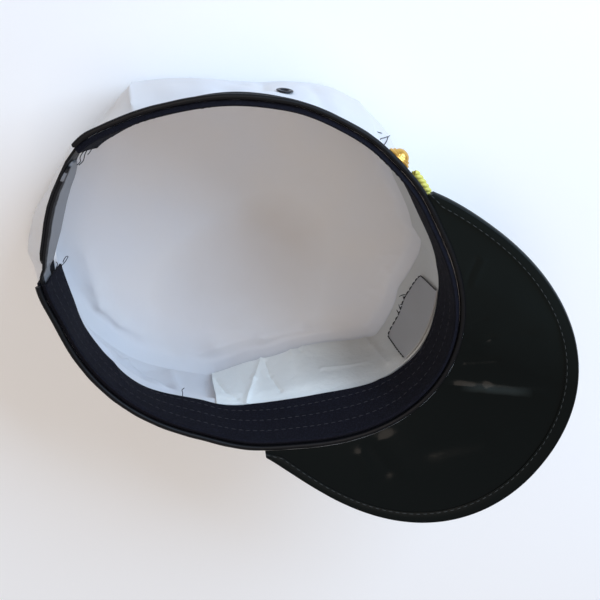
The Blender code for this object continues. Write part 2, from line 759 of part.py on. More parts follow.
def build_badge(front_finish, backing_finish):
    """The plain badge outside and the smooth backing that is sewn behind it."""
    top = BAND_HEIGHT + BADGE_MARGIN
    bottom = top + BADGE_HEIGHT
    build_patch("badge", BADGE_WIDTH, top, bottom, BADGE_CORNER,
                CLOTH_INSET - CLEARANCE - BADGE_THICK, BADGE_THICK, front_finish)
    build_patch("badge_backing", BADGE_WIDTH + 2 * BACKING_RIM, STIFFENER_TOP,
                bottom + BACKING_RIM, 0.0, BACKING_INSET, BACKING_THICK, backing_finish)


def main():
    """Builds the cap, piece by piece."""
    clear_scene()
    white = material("white_cloth", (0.78, 0.80, 0.84), 0.75)
    felt = material("white_stiffener", (0.72, 0.75, 0.74), 0.9)
    backing = material("grey_backing", (0.30, 0.30, 0.30), 0.6)
    black = material("black_cloth", (0.012, 0.012, 0.016), 0.8)
    badge = material("badge_felt", (0.02, 0.02, 0.025), 0.9)
    gloss = material("black_gloss", (0.006, 0.010, 0.010), 0.15)
    plastic = material("strap_plastic", (0.02, 0.02, 0.022), 0.35)
    gold = material("gold_metal", (0.85, 0.60, 0.22), 0.3, 1.0)
    gold_thread = material("gold_thread", (0.80, 0.66, 0.15), 0.45)
    enamel = material("black_eyelet", (0.02, 0.02, 0.03), 0.3, 0.6)

    build_crown_side(white)
    build_crown_tip(white)
    build_stiffener(felt)
    build_badge(badge, backing)
    build_band(black)
    build_sweatband(black)
    build_piping(black)
    build_peak(gloss)
    build_binding(gloss)
    build_snap_straps(plastic)
    build_cord(gold_thread)
    build_button("button_right", BUTTON_RIGHT, gold)
    build_button("button_left", BUTTON_LEFT, gold)
    build_eyelet("eyelet_right", enamel)


main()
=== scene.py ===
"""The looks of a sailor's peaked cap that lies upside down on its soft white crown.

Metres, +Z up, in the CAD's frame: the crown's tip rests at z = 0, the head opening faces +Z and the
peak points towards -Y. Angles run round the cap in degrees from the front, -Y, towards +X. Each
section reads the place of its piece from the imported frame.
"""
import math

import bmesh
import bpy
import numpy as np
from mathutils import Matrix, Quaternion, Vector
from mathutils.bvhtree import BVHTree


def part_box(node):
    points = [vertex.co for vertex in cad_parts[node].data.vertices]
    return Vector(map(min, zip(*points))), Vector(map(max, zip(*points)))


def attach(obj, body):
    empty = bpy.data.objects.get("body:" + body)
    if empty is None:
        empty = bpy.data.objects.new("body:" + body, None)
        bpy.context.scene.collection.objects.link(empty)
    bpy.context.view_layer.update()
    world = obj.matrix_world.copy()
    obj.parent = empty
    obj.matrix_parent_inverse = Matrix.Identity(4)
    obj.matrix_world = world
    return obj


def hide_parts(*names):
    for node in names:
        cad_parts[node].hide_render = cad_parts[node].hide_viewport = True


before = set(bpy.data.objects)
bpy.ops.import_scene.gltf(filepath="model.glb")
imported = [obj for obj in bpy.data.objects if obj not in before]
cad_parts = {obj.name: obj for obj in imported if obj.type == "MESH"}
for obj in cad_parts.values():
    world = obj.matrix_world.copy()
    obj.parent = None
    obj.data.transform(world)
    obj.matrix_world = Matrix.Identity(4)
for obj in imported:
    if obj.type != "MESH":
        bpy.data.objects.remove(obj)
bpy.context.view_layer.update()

# The view. The camera looks down into the cap from the right of its back, held almost upside down.
# A bluish window, a warm lamp overhead and the room light the cap. The glint shows in gloss alone.
MM = 0.001
CAMERA_PLACE = Vector((138.7, 79.4, 521.6)) * MM
CAMERA_AIM = Vector((1.5, -28, 100)) * MM
CAMERA_ROLL = 164.42  # degrees
CAMERA_LENS = 58.67  # mm, on a sensor 36 mm wide
LIGHTS = (  # name, place in mm, size in m, power in W, colour, what it lights
    ("window", (870, -420, 770), (0.9, 0.7), 13.5, (0.52, 0.73, 1), "all"),
    ("lamp", (40, 0, 1250), (0.5, 0.5), 3.1, (1, 0.84, 0.72), "matt"),
    ("glint", (380, 420, 1150), (0.6, 0.6), 4, (1, 0.84, 0.72), "gloss"),
)
LIT_PLACE = Vector((0, 0, 0.05))
ROOM_BRIGHTNESS = 0.52
ROOM_COLOUR = (1, 0.95, 0.91)
SHEET_SIZE = 6


def put(name, data):
    """Puts a new object in the scene."""
    made = bpy.data.objects.new(name, data)
    bpy.context.scene.collection.objects.link(made)
    return made


def put_facing(name, data, place, aim, roll=0):
    """Puts an object at a place, turned towards an aim and then rolled about that line."""
    made = put(name, data)
    made.location = place
    made.rotation_mode = "QUATERNION"
    level = (aim - place).to_track_quat("-Z", "Y")
    made.rotation_quaternion = level @ Quaternion((0, 0, 1), math.radians(roll))
    return made


def make_light(name, place, size, power, colour, lit):
    """A soft rectangular light, turned towards the cap; it lights all, only matt or only gloss."""
    data = bpy.data.lights.new(name, "AREA")
    data.shape = "RECTANGLE"
    data.size, data.size_y = size
    data.energy = power
    data.color = colour
    light = put_facing(name, data, Vector(place) * MM, LIT_PLACE)
    light.visible_glossy = lit != "matt"
    light.visible_diffuse = lit != "gloss"


bpy.context.scene.view_settings.view_transform = "Standard"
camera = bpy.data.cameras.new("photo_camera")
camera.lens = CAMERA_LENS
camera.sensor_width = 36
camera.clip_start = 0.01
bpy.context.scene.camera = put_facing("photo_camera", camera, CAMERA_PLACE, CAMERA_AIM, CAMERA_ROLL)
for row in LIGHTS:
    make_light(*row)
room = bpy.data.worlds.new("room")
room.use_nodes = True
background = room.node_tree.nodes["Background"]
background.inputs["Color"].default_value = (*ROOM_COLOUR, 1)
background.inputs["Strength"].default_value = ROOM_BRIGHTNESS
bpy.context.scene.world = room


# The white sheet under the cap. It only catches the light and the cap's soft shadow, and is no
# piece of the model.
class Number:
    """A number that varies over a surface; maths on it adds Math nodes to its finish."""

    def __init__(self, finish, socket):
        self.finish = finish
        self.socket = socket

    def work(self, operation, *values):
        """Number that a Math node makes of this one and of others."""
        operands = dict(enumerate((self, *values)))
        made = self.finish.node("Math", {"operation": operation}, operands)
        return Number(self.finish, made.outputs[0])

    def __add__(self, other):
        return self.work("ADD", other)

    def __sub__(self, other):
        return self.work("SUBTRACT", other)

    def __rsub__(self, other):
        return (self * -1).work("ADD", other)

    def __mul__(self, other):
        return self.work("MULTIPLY", other)

    def __truediv__(self, other):
        return self.work("DIVIDE", other)

    def clamped(self):
        """The number, held between 0 and 1."""
        return self.work("MAXIMUM", 0).work("MINIMUM", 1)


class Finish:
    """A procedural material, built up node by node."""

    def __init__(self, name, colour, roughness, metallic=0, grain=None, shine=0.5, **fixed):
        self.material = bpy.data.materials.new(name)
        self.material.use_nodes = True
        self.tree = self.material.node_tree
        self.shader = self.tree.nodes["Principled BSDF"]
        fixed.update(Base_Color=colour, Roughness=roughness, Metallic=metallic,
                     Specular_IOR_Level=shine)
        for socket, value in fixed.items():
            self.vary(socket.replace("_", " "), value)
        self.coordinates = self.tree.nodes.new("ShaderNodeTexCoord").outputs
        if grain:
            self.grain(*grain)

    def feed(self, socket, value):
        """Links a number or a node's output to a socket, or sets the socket to a plain value."""
        value = value.socket if isinstance(value, Number) else value
        if isinstance(value, bpy.types.NodeSocket):
            self.tree.links.new(value, socket)
        else:
            socket.default_value = (*value, 1) if socket.type == "RGBA" else value

    def node(self, kind, settings, sockets):
        """Adds a node: its type, its settings, then the values or links of its sockets."""
        made = self.tree.nodes.new("ShaderNode" + kind)
        for name, value in settings.items():
            setattr(made, name, value)
        for name, value in sockets.items():
            self.feed(made.inputs[name], value)
        return made

    def parts(self, system):
        """The numbers of a place in metres: "Object", or "UV" along and across the piece."""
        split = self.node("SeparateXYZ", {}, {0: self.coordinates[system]})
        return [Number(self, split.outputs[i]) for i in range(3)]

    def noise(self, scale, detail=2):
        """Soft random number from 0 to 1, with a scale in waves per metre."""
        made = self.node("TexNoise", {}, {"Vector": self.coordinates["Object"], "Scale": scale,
                                          "Detail": detail})
        return Number(self, made.outputs[0])

    def cells(self, scale):
        """Distance to the edge between random cells, with a scale in cells per metre."""
        made = self.node("TexVoronoi", {"feature": "DISTANCE_TO_EDGE"},
                         {"Vector": self.coordinates["Object"], "Scale": scale})
        return Number(self, made.outputs["Distance"])

    def weave(self, pitch):
        """Height of a plain weave on the UV map: two crossed sets of round threads."""
        along, across, _ = self.parts("UV")
        turn = 2 * math.pi / pitch
        return (along * turn).work("SINE") * (across * turn).work("SINE") * 0.5 + 0.5

    def mix(self, share, first, second):
        """Colour between two colours."""
        made = self.node("Mix", {"data_type": "RGBA"}, {0: share, 6: first, 7: second})
        return made.outputs[2]

    def vary(self, name, value):
        """Sets an input of the shader, or makes it follow what varies over the surface."""
        self.feed(self.shader.inputs[name], value)

    def colour(self, share, first, second):
        """The surface's own colour varies between two colours."""
        self.vary("Base Color", self.mix(share, first, second))

    def bump(self, height, metres, strength):
        """Raises the surface by a number times a length, over any relief added before."""
        made = self.node("Bump", {}, {"Strength": strength, "Distance": metres, "Height": height})
        normal = self.shader.inputs["Normal"]
        if normal.is_linked:
            self.feed(made.inputs["Normal"], normal.links[0].from_socket)
        self.feed(normal, made.outputs[0])

    def grain(self, scale, detail, metres, strength):
        """Raises the surface by soft noise."""
        self.bump(self.noise(scale, detail), metres, strength)


sheet_finish = Finish("white_sheet", (0.93, 0.93, 0.94), 0.9)
sheet_finish.colour(sheet_finish.noise(3), (0.92, 0.92, 0.93), (0.95, 0.95, 0.95))
half = SHEET_SIZE / 2
ground = bpy.data.meshes.new("white_sheet")
ground.from_pydata([(-half, -half, 0), (half, -half, 0), (half, half, 0), (-half, half, 0)],
                   [], [(0, 1, 2, 3)])
ground.materials.append(sheet_finish.material)
ground_piece = put("white_sheet", ground)
ground_piece.location.z = -0.2 * MM


# The crown side: one wall of thin white cotton, sewn to the band above and to the oval tip below.
# It isn't stretched, so it falls in soft folds. At the back it is cut away in an arch.
COLUMN = 4.5  # degrees between the columns of the CAD's ring pieces
COLUMNS = np.arange(-180, 180, COLUMN)
BEYOND = 300 * MM  # rays from outside start this far from the cap's axis
WALL_RADIUS = 92  # mm, turns a fold's angles into lengths
CROWN_CLOTH = 1.3 * MM
CROWN_AROUND = 620  # columns of the mesh
CROWN_UP = 62  # rows of the mesh
FOLDED_SHARE = 0.62  # lower share of the wall's height, where the rows lie closer for the folds
ROWS_ABOVE = 11
CROWN_RIPPLE = 0.35 * MM
SEAM_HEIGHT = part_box("crown_side")[0].z
FOLD_HEIGHT = 61.5 * MM  # just below the arch and above the eyelet
ARCH_MIDDLE = 182.25  # degrees
ARCH_HALF = 24.75
ARCH_POWER = 6  # how square the arch's corners are
ARCH_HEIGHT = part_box("band")[0].z - 2.2 * MM
RIM_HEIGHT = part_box("piping")[1].z
CROWN_FOLDS = (  # angle and height in mm of both ends, half width, height, power
    (147, 66, 146, 10, 3.5, 2.6, 1),  # the sharp fold at the right of the back
    (158, 58, 160, 22, 11, -3.2, 2),  # the hollow beside it
    (172, 60, 170, 46, 7, 3, 2), (103, 40, 102, 12, 5, -1.8, 1.5), (118, 60, 112, 26, 8, -1.2, 2),
    (82, 62, 85, 24, 5, -1.6, 2), (64, 60, 70, 12, 5, 1.6, 1.2),
    (-96, 63, -108, 30, 3, -3, 1.1),  # the crumple at the wearer's left
    (-108, 30, -112, 20, 3, -2, 1.1), (-91, 60, -99, 36, 2.6, 2.4, 1.1),
    (-99, 36, -103, 24, 2.4, 1.4, 1.1),
    (-90.5, 60, -91, 18, 4.5, -2.6, 1.3),  # a facet beside it, turned to the window
    (-79, 62, -79, 16, 6, 1.8, 1.6), (-122, 62, -126, 18, 7, -2.4, 1.8),
    (-140, 56, -143, 14, 6, 2.2, 1.3), (-160, 56, -157, 14, 7, -2, 1.6),
    (24, 60, 27, 20, 5, 0.9, 1.6), (-30, 58, -33, 18, 6, 1, 1.8),
)
trees = {}


def tree_of(node):
    """Search tree of a CAD node's triangles, built once."""
    if node not in trees:
        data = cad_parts[node].data
        trees[node] = BVHTree.FromPolygons([corner.co for corner in data.vertices],
                                           [face.vertices for face in data.polygons])
    return trees[node]


def curve(knots, values, places, each=False):
    """Smooth curve (cubic Hermite) through values at rising knots, read at places.

    The knots run along the first axis, and past the ends the curve runs on straight. With each,
    values[:, n] is the curve of place n alone.
    """
    slopes = np.gradient(values, knots, axis=0)
    low = np.clip(np.searchsorted(knots, places, side="right") - 1, 0, len(knots) - 2)
    span = knots[low + 1] - knots[low]
    held = np.clip(places, knots[0], knots[-1])
    share = (held - knots[low]) / span
    over = places - held
    own = (np.arange(places.size),) if each else ()
    if values.ndim > 1 and not each:
        span, share, over = span[:, None], share[:, None], over[:, None]
    rest = 1 - share
    bend = (values[(low, *own)] * (1 + 2 * share) * rest ** 2
            + values[(low + 1, *own)] * share ** 2 * (3 - 2 * share)
            + (slopes[(low, *own)] * rest - slopes[(low + 1, *own)] * share) * share * rest * span)
    return bend + over * np.where(over < 0, slopes[0], slopes[-1])


class Wall:
    """One face of a CAD wall round the cap: rows of its radius, read by level rays.

    Where a ray from outside the cap, or from its axis, meets nothing, the gap is bridged evenly.
    """

    def __init__(self, node, heights, inside=False):
        self.heights = np.array(heights)
        self.table = np.array([[self.read(node, angle, height, inside) for height in heights]
                               for angle in COLUMNS])
        for row in self.table.T:
            known = ~np.isnan(row)
            row[:] = np.interp(COLUMNS, COLUMNS[known], row[known], period=360)
        self.table = np.concatenate([self.table[-3:], self.table, self.table[:3]])
        self.angles = np.arange(-3, COLUMNS.size + 3) * COLUMN + COLUMNS[0]

    def read(self, node, angle, height, inside):
        """Radius where one ray meets the node."""
        turn = math.radians(angle + 0.02)
        out = Vector((math.sin(turn), -math.cos(turn), 0))
        axis = Vector((0, 0, height))
        start, way = (axis, out) if inside else (axis + out * BEYOND, -out)
        place = tree_of(node).ray_cast(start, way, BEYOND)[0]
        return np.nan if place is None else (place - axis).length

    def radius(self, angles, heights):
        """Radius at angles in degrees and heights, which are arrays that fit together."""
        angles, heights = np.broadcast_arrays(angles, heights)
        turned = (angles.ravel() + 180) % 360 - 180
        columns = curve(self.angles, self.table, turned)
        if self.heights.size == 1:
            return columns[:, 0].reshape(angles.shape)
        return curve(self.heights, columns.T, heights.ravel(), each=True).reshape(angles.shape)

    def points(self, angles, heights, deeper):
        """Points of the face, moved a length towards the axis."""
        return spot(self.radius(angles, heights) - deeper, angles, heights)


def spot(radius, angles, height):
    """Points from a radius, an angle in degrees and a height, which may all be arrays."""
    turn = np.radians(angles)
    return np.stack(np.broadcast_arrays(radius * np.sin(turn), -radius * np.cos(turn), height),
                    axis=-1)


def folds(across, up, table):
    """Height of a set of soft folds over a surface, in metres.

    Each row of the table is a straight fold between two ends, in mm. Its height falls off as
    exp(-(distance from the line / half width) ** power), so power 1 gives a sharp crest.
    """
    total = np.zeros(np.broadcast(across, up).shape)
    for x0, y0, x1, y1, width, high, power in table:
        run = np.array([x1 - x0, y1 - y0]) * MM
        along = ((across - x0 * MM) * run[0] + (up - y0 * MM) * run[1]) / (run @ run)
        along = np.clip(along, 0, 1)
        off = np.hypot(across - x0 * MM - along * run[0], up - y0 * MM - along * run[1])
        total += high * MM * np.exp(-(off / (width * MM)) ** power)
    return total


def wall_folds(angles, heights, table):
    """Folds on the cap's wall. The table's angles are turned into mm round it."""
    scale = WALL_RADIUS * math.pi / 180
    rows = [(a0 * scale, h0, a1 * scale, h1, *rest) for a0, h0, a1, h1, *rest in table]
    return folds(angles * scale * MM, heights, rows)


def facing(points, closed):
    """Unit normals of a grid of wall points, turned away from the cap's axis."""
    if closed:
        along = np.roll(points, -1, axis=0) - np.roll(points, 1, axis=0)
    else:
        along = np.gradient(points, axis=0)
    normals = np.cross(along, np.gradient(points, axis=1))
    normals /= np.linalg.norm(normals, axis=-1, keepdims=True)
    outward = np.sum(normals[..., :2] * points[..., :2], axis=-1, keepdims=True)
    return normals * np.where(outward < 0, -1, 1)


def running(points, closed):
    """Distance along rows of points, from 0, with the closing stretch where they are closed."""
    if closed:
        points = np.concatenate([points, points[..., :1, :]], axis=-2)
    far = np.cumsum(np.linalg.norm(np.diff(points, axis=-2), axis=-1), axis=-1)
    return np.concatenate([np.zeros((*far.shape[:-1], 1)), far], axis=-1)


def strips(rows, after, near, far, wide):
    """Quads from loops of points to the loops after them, and the UVs of their corners.

    Near and far are the distances along the piece at both loops, wide those round a loop.
    """
    i, j = (part.ravel() for part in grid(np.arange(rows.size), np.arange(wide.size - 1)))
    around, m = wide.size - 1, (j + 1) % (wide.size - 1)
    first, second = rows[i] * around, after[i] * around
    uv = (near[i], wide[j], far[i], wide[j], far[i], wide[j + 1], near[i], wide[j + 1])
    return (np.stack([first + j, second + j, second + m, first + m], axis=-1),
            np.stack(uv, axis=-1))


def loft(sections, finish, ring=False, sharp=50):
    """Mesh of a closed surface through a row of sections, each a loop of as many points.

    An open row's ends are closed by ladders of quads. The UV map counts metres along the row and
    round the loop.
    """
    count, around = sections.shape[:2]
    rows = np.arange(count if ring else count - 1)
    long = running(sections.mean(axis=1), ring)
    deep = running(sections[::max(1, count // 24)], True).mean(axis=0)
    quads, uv = strips(rows, (rows + 1) % count, long[rows], long[rows + 1], deep)
    if not ring:
        rungs = np.arange(around // 2 - 1)
        for end in (0, count - 1):
            ladder = np.stack([rungs, rungs + 1, around - 2 - rungs, around - 1 - rungs], axis=-1)
            quads = np.concatenate([quads, ladder + end * around])
            level = np.full(rungs.size, long[end])
            edge = np.stack([deep[rungs], level, deep[rungs + 1], level] * 2, axis=-1)
            uv = np.concatenate([uv, edge])
    return solid(sections, quads, uv, finish, sharp)


def solid(points, faces, uv, finish, sharp=50):
    """Mesh from arrays of points, faces and face-corner UVs, merged and turned outwards."""
    mesh = bpy.data.meshes.new("new")
    mesh.from_pydata(points.reshape(-1, 3).tolist(), [], faces.tolist())
    mesh.uv_layers.new(name="cloth").data.foreach_set("uv", uv.ravel())
    shape = bmesh.new()
    shape.from_mesh(mesh)
    bmesh.ops.remove_doubles(shape, verts=shape.verts, dist=1e-7)
    bmesh.ops.recalc_face_normals(shape, faces=shape.faces)
    shape.to_mesh(mesh)
    shape.free()
    mesh.shade_smooth()
    mesh.set_sharp_from_angle(angle=math.radians(sharp))
    mesh.materials.append(finish.material)
    return mesh


def sheet_loops(face, thick, closed=False):
    """Sections of a sheet with one given face; the other lies a thickness farther out."""
    return between(face, face + facing(face, closed) * thick)


def between(face, other):
    """Sections of a sheet that lies between two faces."""
    return np.concatenate([face, other[:, ::-1]], axis=1)


def grid(*axes):
    """Arrays of one shape, whose values run along one axis each."""
    return np.meshgrid(*axes, indexing="ij")


def add_piece(name, mesh, node=None):
    """Puts a mesh in the scene as a piece that rides on the cap and may stand for a CAD node."""
    mesh.name = node or name
    piece = put(name, mesh)
    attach(piece, "root")
    if node:
        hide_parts(node)
    return piece


def add_sheet(name, slot, node, width, *lofted, **shape):
    """Adds a lofted piece that is a sheet. Its width is not used."""
    mesh = loft(*lofted, **shape)
    piece = add_piece(name, mesh, node)
    areas = np.zeros(len(mesh.polygons))
    mesh.polygons.foreach_get("area", areas)


def arch_height(angles):
    """Height of the crown's upper edge: in the arch it dips on a rounded square curve.

    Over the arch the drop is 1 - |offset| ** power, to the power 1 / power, times its depth.
    """
    off = np.abs((angles - ARCH_MIDDLE + 180) % 360 - 180) / ARCH_HALF
    dip = np.clip(1 - off ** ARCH_POWER, 0, None) ** (1 / ARCH_POWER)
    top = RIM_HEIGHT - 3.3 * MM
    return top - (top - ARCH_HEIGHT) * dip


crown_low = Wall("crown_side", np.linspace(SEAM_HEIGHT + 0.2 * MM, FOLD_HEIGHT, 6))
crown_high = Wall("crown_side", (FOLD_HEIGHT, RIM_HEIGHT - 5 * MM))


def wall_fade(heights):
    """Share of the folds that a height takes: all of them on the free cloth, none at both seams."""
    low = np.clip((heights - SEAM_HEIGHT) / (9 * MM), 0, 1)
    high = np.clip((FOLD_HEIGHT + 4 * MM - heights) / (12 * MM), 0, 1)
    return low * low * (3 - 2 * low) * high * high * (3 - 2 * high)


def crown_wall(angles, heights):
    """Points of the crown's outer face: a straight cone above the fold line, folds below it."""
    radius = np.where(heights > FOLD_HEIGHT, crown_high.radius(angles, heights),
                      crown_low.radius(angles, heights))
    radius = radius + wall_folds(angles, heights, CROWN_FOLDS) * wall_fade(heights)
    ripple = (np.sin(np.radians(angles * 23) + heights * 160)
              * np.sin(np.radians(angles * 9) - heights * 90))
    return spot(radius + CROWN_RIPPLE * ripple * wall_fade(heights), angles, heights)


def white_cloth(name, painted_shade=None):
    """White cotton: fine plain weave, slight mottling, a trace of blue or of warm grey.

    The patch is painted shade, soft and warm grey: x and y of its middle, its half sizes, in mm.
    """
    finish = Finish(name, (0.71, 0.72, 0.75), 0.85, shine=0.25,
                    Sheen_Weight=0.15, Sheen_Roughness=0.5)
    cool, plain = (0.69, 0.71, 0.76), (0.74, 0.725, 0.72)
    patches = finish.noise(14, 3)
    shade = finish.mix((patches * 2.2 - 0.6).clamped(), cool, plain)
    if painted_shade:
        x, y, _ = finish.parts("Object")
        off_x, off_y = (x - painted_shade[0] * MM) / (painted_shade[2] * MM), (y - painted_shade[1] * MM) / (painted_shade[3] * MM)
        # Painted shade: a soft warm grey patch where the cloth lies in shade.
        share = (1 - off_x * off_x - off_y * off_y + (patches - 0.5) * 1.5).clamped()
        shade = finish.mix(share, shade, (0.63, 0.61, 0.61))
    finish.vary("Base Color", shade)
    finish.grain(160, 3, 0.35 * MM, 0.4)
    finish.bump(finish.weave(0.75 * MM), 0.05 * MM, 0.6)
    return finish


crown_finish = white_cloth("white_cotton")
climb = np.concatenate([np.linspace(0, 1, CROWN_UP - ROWS_ABOVE + 1)[:-1] * FOLDED_SHARE,
                        np.linspace(FOLDED_SHARE, 1, ROWS_ABOVE)])
crown_angles, crown_climb = grid(np.arange(CROWN_AROUND) * 360 / CROWN_AROUND - 180, climb)
crown_heights = SEAM_HEIGHT + (arch_height(crown_angles) - SEAM_HEIGHT) * crown_climb
crown_outside = crown_wall(crown_angles, crown_heights)
add_sheet("crown_cloth", "white_cloth", "crown_side", 0.1,
          sheet_loops(crown_outside, -CROWN_CLOTH, closed=True), crown_finish, ring=True)


# The crown tip: the oval top that the cap rests on. It is flat in the middle and turned up all
# round to the seam, whose turned-in edges stand as a thin ridge. A long soft fold crosses it.
TIP_CLOTH = 1.2 * MM
TIP_AROUND = 420
TIP_IN = 72  # rings of the mesh
TIP_TURN = 0.8  # share of the seam's radius where the cloth starts to turn up
TIP_STEEP = 4.5
TIP_RIPPLE = 0.35 * MM
SEAM_RIDGE = 0.8 * MM
TIP_FOLDS = (  # x and y in mm of both ends, half width, height, power
    (-88, -6, -74, -18, 6, 2, 1.6), (-74, -18, -58, -42, 6, 2.6, 1.6),
    (-58, -42, -46, -62, 5, 2.4, 1.5), (-46, -62, -41, -78, 4, 1.8, 1.4),
    (-49, 69, -64, 58, 5, 1.6, 1.5), (-64, 58, -74, 51, 4, 2.6, 1.4),
    (-74, 51, -80, 38, 4, 2.4, 1.4), (-80, 38, -83, 24, 4, 1.4, 1.5),
    (-8, -88, -7, -95, 1.2, 0.7, 1.4), (-2, -89, -1, -96, 1, 0.6, 1.4),
    (5, -90, 4, -97, 1.2, 0.7, 1.4), (-15, -89, -14, -95, 1.3, 0.6, 1.4),
    (12, -86, 16, -94, 1.6, 0.6, 1.4), (34, -78, 40, -86, 2, 0.6, 1.4),
)
ASKEW = (0.31, 0.22, 0.92)  # a way that no thread runs along
# The tip's painted shade: a warm grey patch over its middle, where it lies in shade.
TIP_PAINTED_SHADE = (-36, -20, 58, 46)  # x, y, half sizes in mm


def tip_height(share):
    """Height of the tip's outside at a share of the seam's radius."""
    rise = np.clip((share - TIP_TURN) / (1 - TIP_TURN), 0, 1)
    return (SEAM_HEIGHT - 0.3 * MM) * rise ** TIP_STEEP


def tubes(lines, radii, sides, finish, pointed=True):
    """Mesh of round threads; lines holds as many points for each, radii a radius or one for each."""
    ways = np.gradient(lines, axis=1)
    ways /= np.linalg.norm(ways, axis=-1, keepdims=True) + 1e-12
    across = np.cross(ways, ASKEW)
    across /= np.linalg.norm(across, axis=-1, keepdims=True)
    other = np.cross(ways, across)
    turns = np.arange(sides) * 2 * math.pi / sides
    radii = np.broadcast_to(radii, lines.shape[:2]).copy()
    if pointed:
        radii[:, [0, -1]] = 0
    radii = radii[..., None, None]
    points = lines[:, :, None] + radii * (across[:, :, None] * np.cos(turns)[:, None]
                                          + other[:, :, None] * np.sin(turns)[:, None])
    count, long = lines.shape[:2]
    rows = np.arange(count * long).reshape(count, long)[:, :-1].ravel()
    far = running(lines, False)
    girth = np.arange(sides + 1) * (2 * math.pi * float(radii.max()) / sides)
    quads, uv = strips(rows, rows + 1, far[:, :-1].ravel(), far[:, 1:].ravel(), girth)
    return solid(points, quads, uv, finish)


tip_shares = 1 - np.linspace(0, 1, TIP_IN) ** 1.6
tip_angles, tip_share = grid(np.arange(TIP_AROUND) * 360 / TIP_AROUND - 180, tip_shares)
tip_radius = crown_low.radius(tip_angles, SEAM_HEIGHT)
tip_outside = spot(tip_radius * tip_share, tip_angles, tip_height(tip_share))
tip_x, tip_y = tip_outside[..., 0], tip_outside[..., 1]
tip_loose = np.clip((1 - tip_share) * 9, 0, 1)
tip_lift = (folds(tip_x, tip_y, TIP_FOLDS) + TIP_RIPPLE * (1 + np.sin(tip_x * 95 + tip_y * 40)
            * np.sin(tip_y * 70 - tip_x * 30 + 1))) * tip_loose
tip_outside[..., 2] += tip_lift
tip_slope = np.gradient(tip_outside[0, :, 2]) / np.gradient(np.linalg.norm(tip_outside[0, :, :2],
                                                                         axis=-1))
tip_inside = tip_outside.copy()
tip_inside[..., 2] += TIP_CLOTH * np.sqrt(1 + np.clip(tip_slope, 0, 1.4) ** 2)
tip_inside[..., :2] *= 1 - TIP_CLOTH / tip_radius[..., None] * np.clip(tip_slope, 0, 1)[:, None]
add_sheet("crown_tip_cloth", "white_cloth", "crown_tip", 0.165, between(tip_outside, tip_inside),
          white_cloth("white_cotton_tip", TIP_PAINTED_SHADE), ring=True)
ridge = spot(tip_radius[:, 0] - 0.9 * MM, tip_angles[:, 0], SEAM_HEIGHT + 0.1 * MM)
ridge = np.concatenate([ridge, ridge[:1]])[None]
add_piece("tip_seam", tubes(ridge, SEAM_RIDGE, 8, crown_finish, False))


# The stiffener: a creased white non-woven sheet inside the crown's front and the wearer's left. It
# is painted greyer towards the badge: painted shade.
STIFFENER_FROM = -76.5  # degrees
STIFFENER_TO = 72
STIFFENER_THICK = 1 * MM
PAINTED_SHADE_FROM = -57 * MM  # x beyond which painted shade greys the sheet
STIFFENER_CREASES = (  # angle and height in mm of both ends, half width, height, power
    (-75.4, 22, -74.3, 34, 1.4, -0.9, 1.2), (-74.3, 34, -72.6, 50, 1.4, -0.9, 1.2),
    (-72.6, 50, -68.6, 62, 1.4, -0.8, 1.2), (-56.8, 8, -61.2, 37, 1.8, 1.3, 1.1),
    (-61.2, 37, -65.5, 69, 1.8, 1.3, 1.1), (-56, 17, -54.9, 35, 1.6, -1, 1.2),
    (-54.9, 35, -52, 58, 1.6, -0.8, 1.2), (-45, 10, -44, 20, 1.2, 0.7, 1.2),
    (-42.5, 9, -41, 18, 1, -0.6, 1.2), (-39.5, 12, -38.5, 22, 1.2, 0.6, 1.2),
    (-34, 28, -19, 30, 8, -0.8, 2), (-35, 44, -22, 46, 1.4, 0.7, 1.2),
    (-20.2, 8, -19, 25, 1.6, 1.4, 1.1), (-19, 25, -15.9, 60, 1.6, 1.3, 1.1),
    (20, 62, 22, 14, 1.8, 1, 1.1), (30, 60, 33, 30, 1.6, -0.6, 1.3), (46, 64, 44, 20, 2, 0.7, 1.2),
    (58, 60, 61, 16, 2, -0.6, 1.3),
)
stiff_wall = Wall("crown_stiffener", np.linspace(12.4, 68.6, 6) * MM, inside=True)


def stiffener_finish():
    """Non-woven sheet: random fibres, small hard creases, and painted shade towards the badge."""
    finish = Finish("non_woven", (0.84, 0.87, 0.85), 0.8, shine=0.3)
    patches = finish.noise(30, 4)
    x, _, _ = finish.parts("Object")
    # Painted shade: the sheet turns grey past a given x, towards the badge.
    grey = ((x - PAINTED_SHADE_FROM) * 60 + patches * 0.4 - 0.2).clamped()
    finish.colour(grey, (0.93, 0.96, 0.94), (0.58, 0.58, 0.56))
    finish.bump(finish.cells(110), 0.9 * MM, 0.4)
    finish.grain(260, 3, 0.8 * MM, 0.45)
    finish.grain(900, 4, 0.2 * MM, 0.5)
    return finish


stiff_angles, stiff_heights = grid(np.linspace(STIFFENER_FROM, STIFFENER_TO, 330),
                                   np.linspace(12.2, 68.7, 64) * MM)
stiff_creases = wall_folds(stiff_angles, stiff_heights, STIFFENER_CREASES)
stiff_inside = stiff_wall.points(stiff_angles, stiff_heights, stiff_creases)
add_sheet("stiffener_sheet", "white_stiffener", "crown_stiffener", 0.0575,
          sheet_loops(stiff_inside, STIFFENER_THICK), stiffener_finish(), sharp=35)


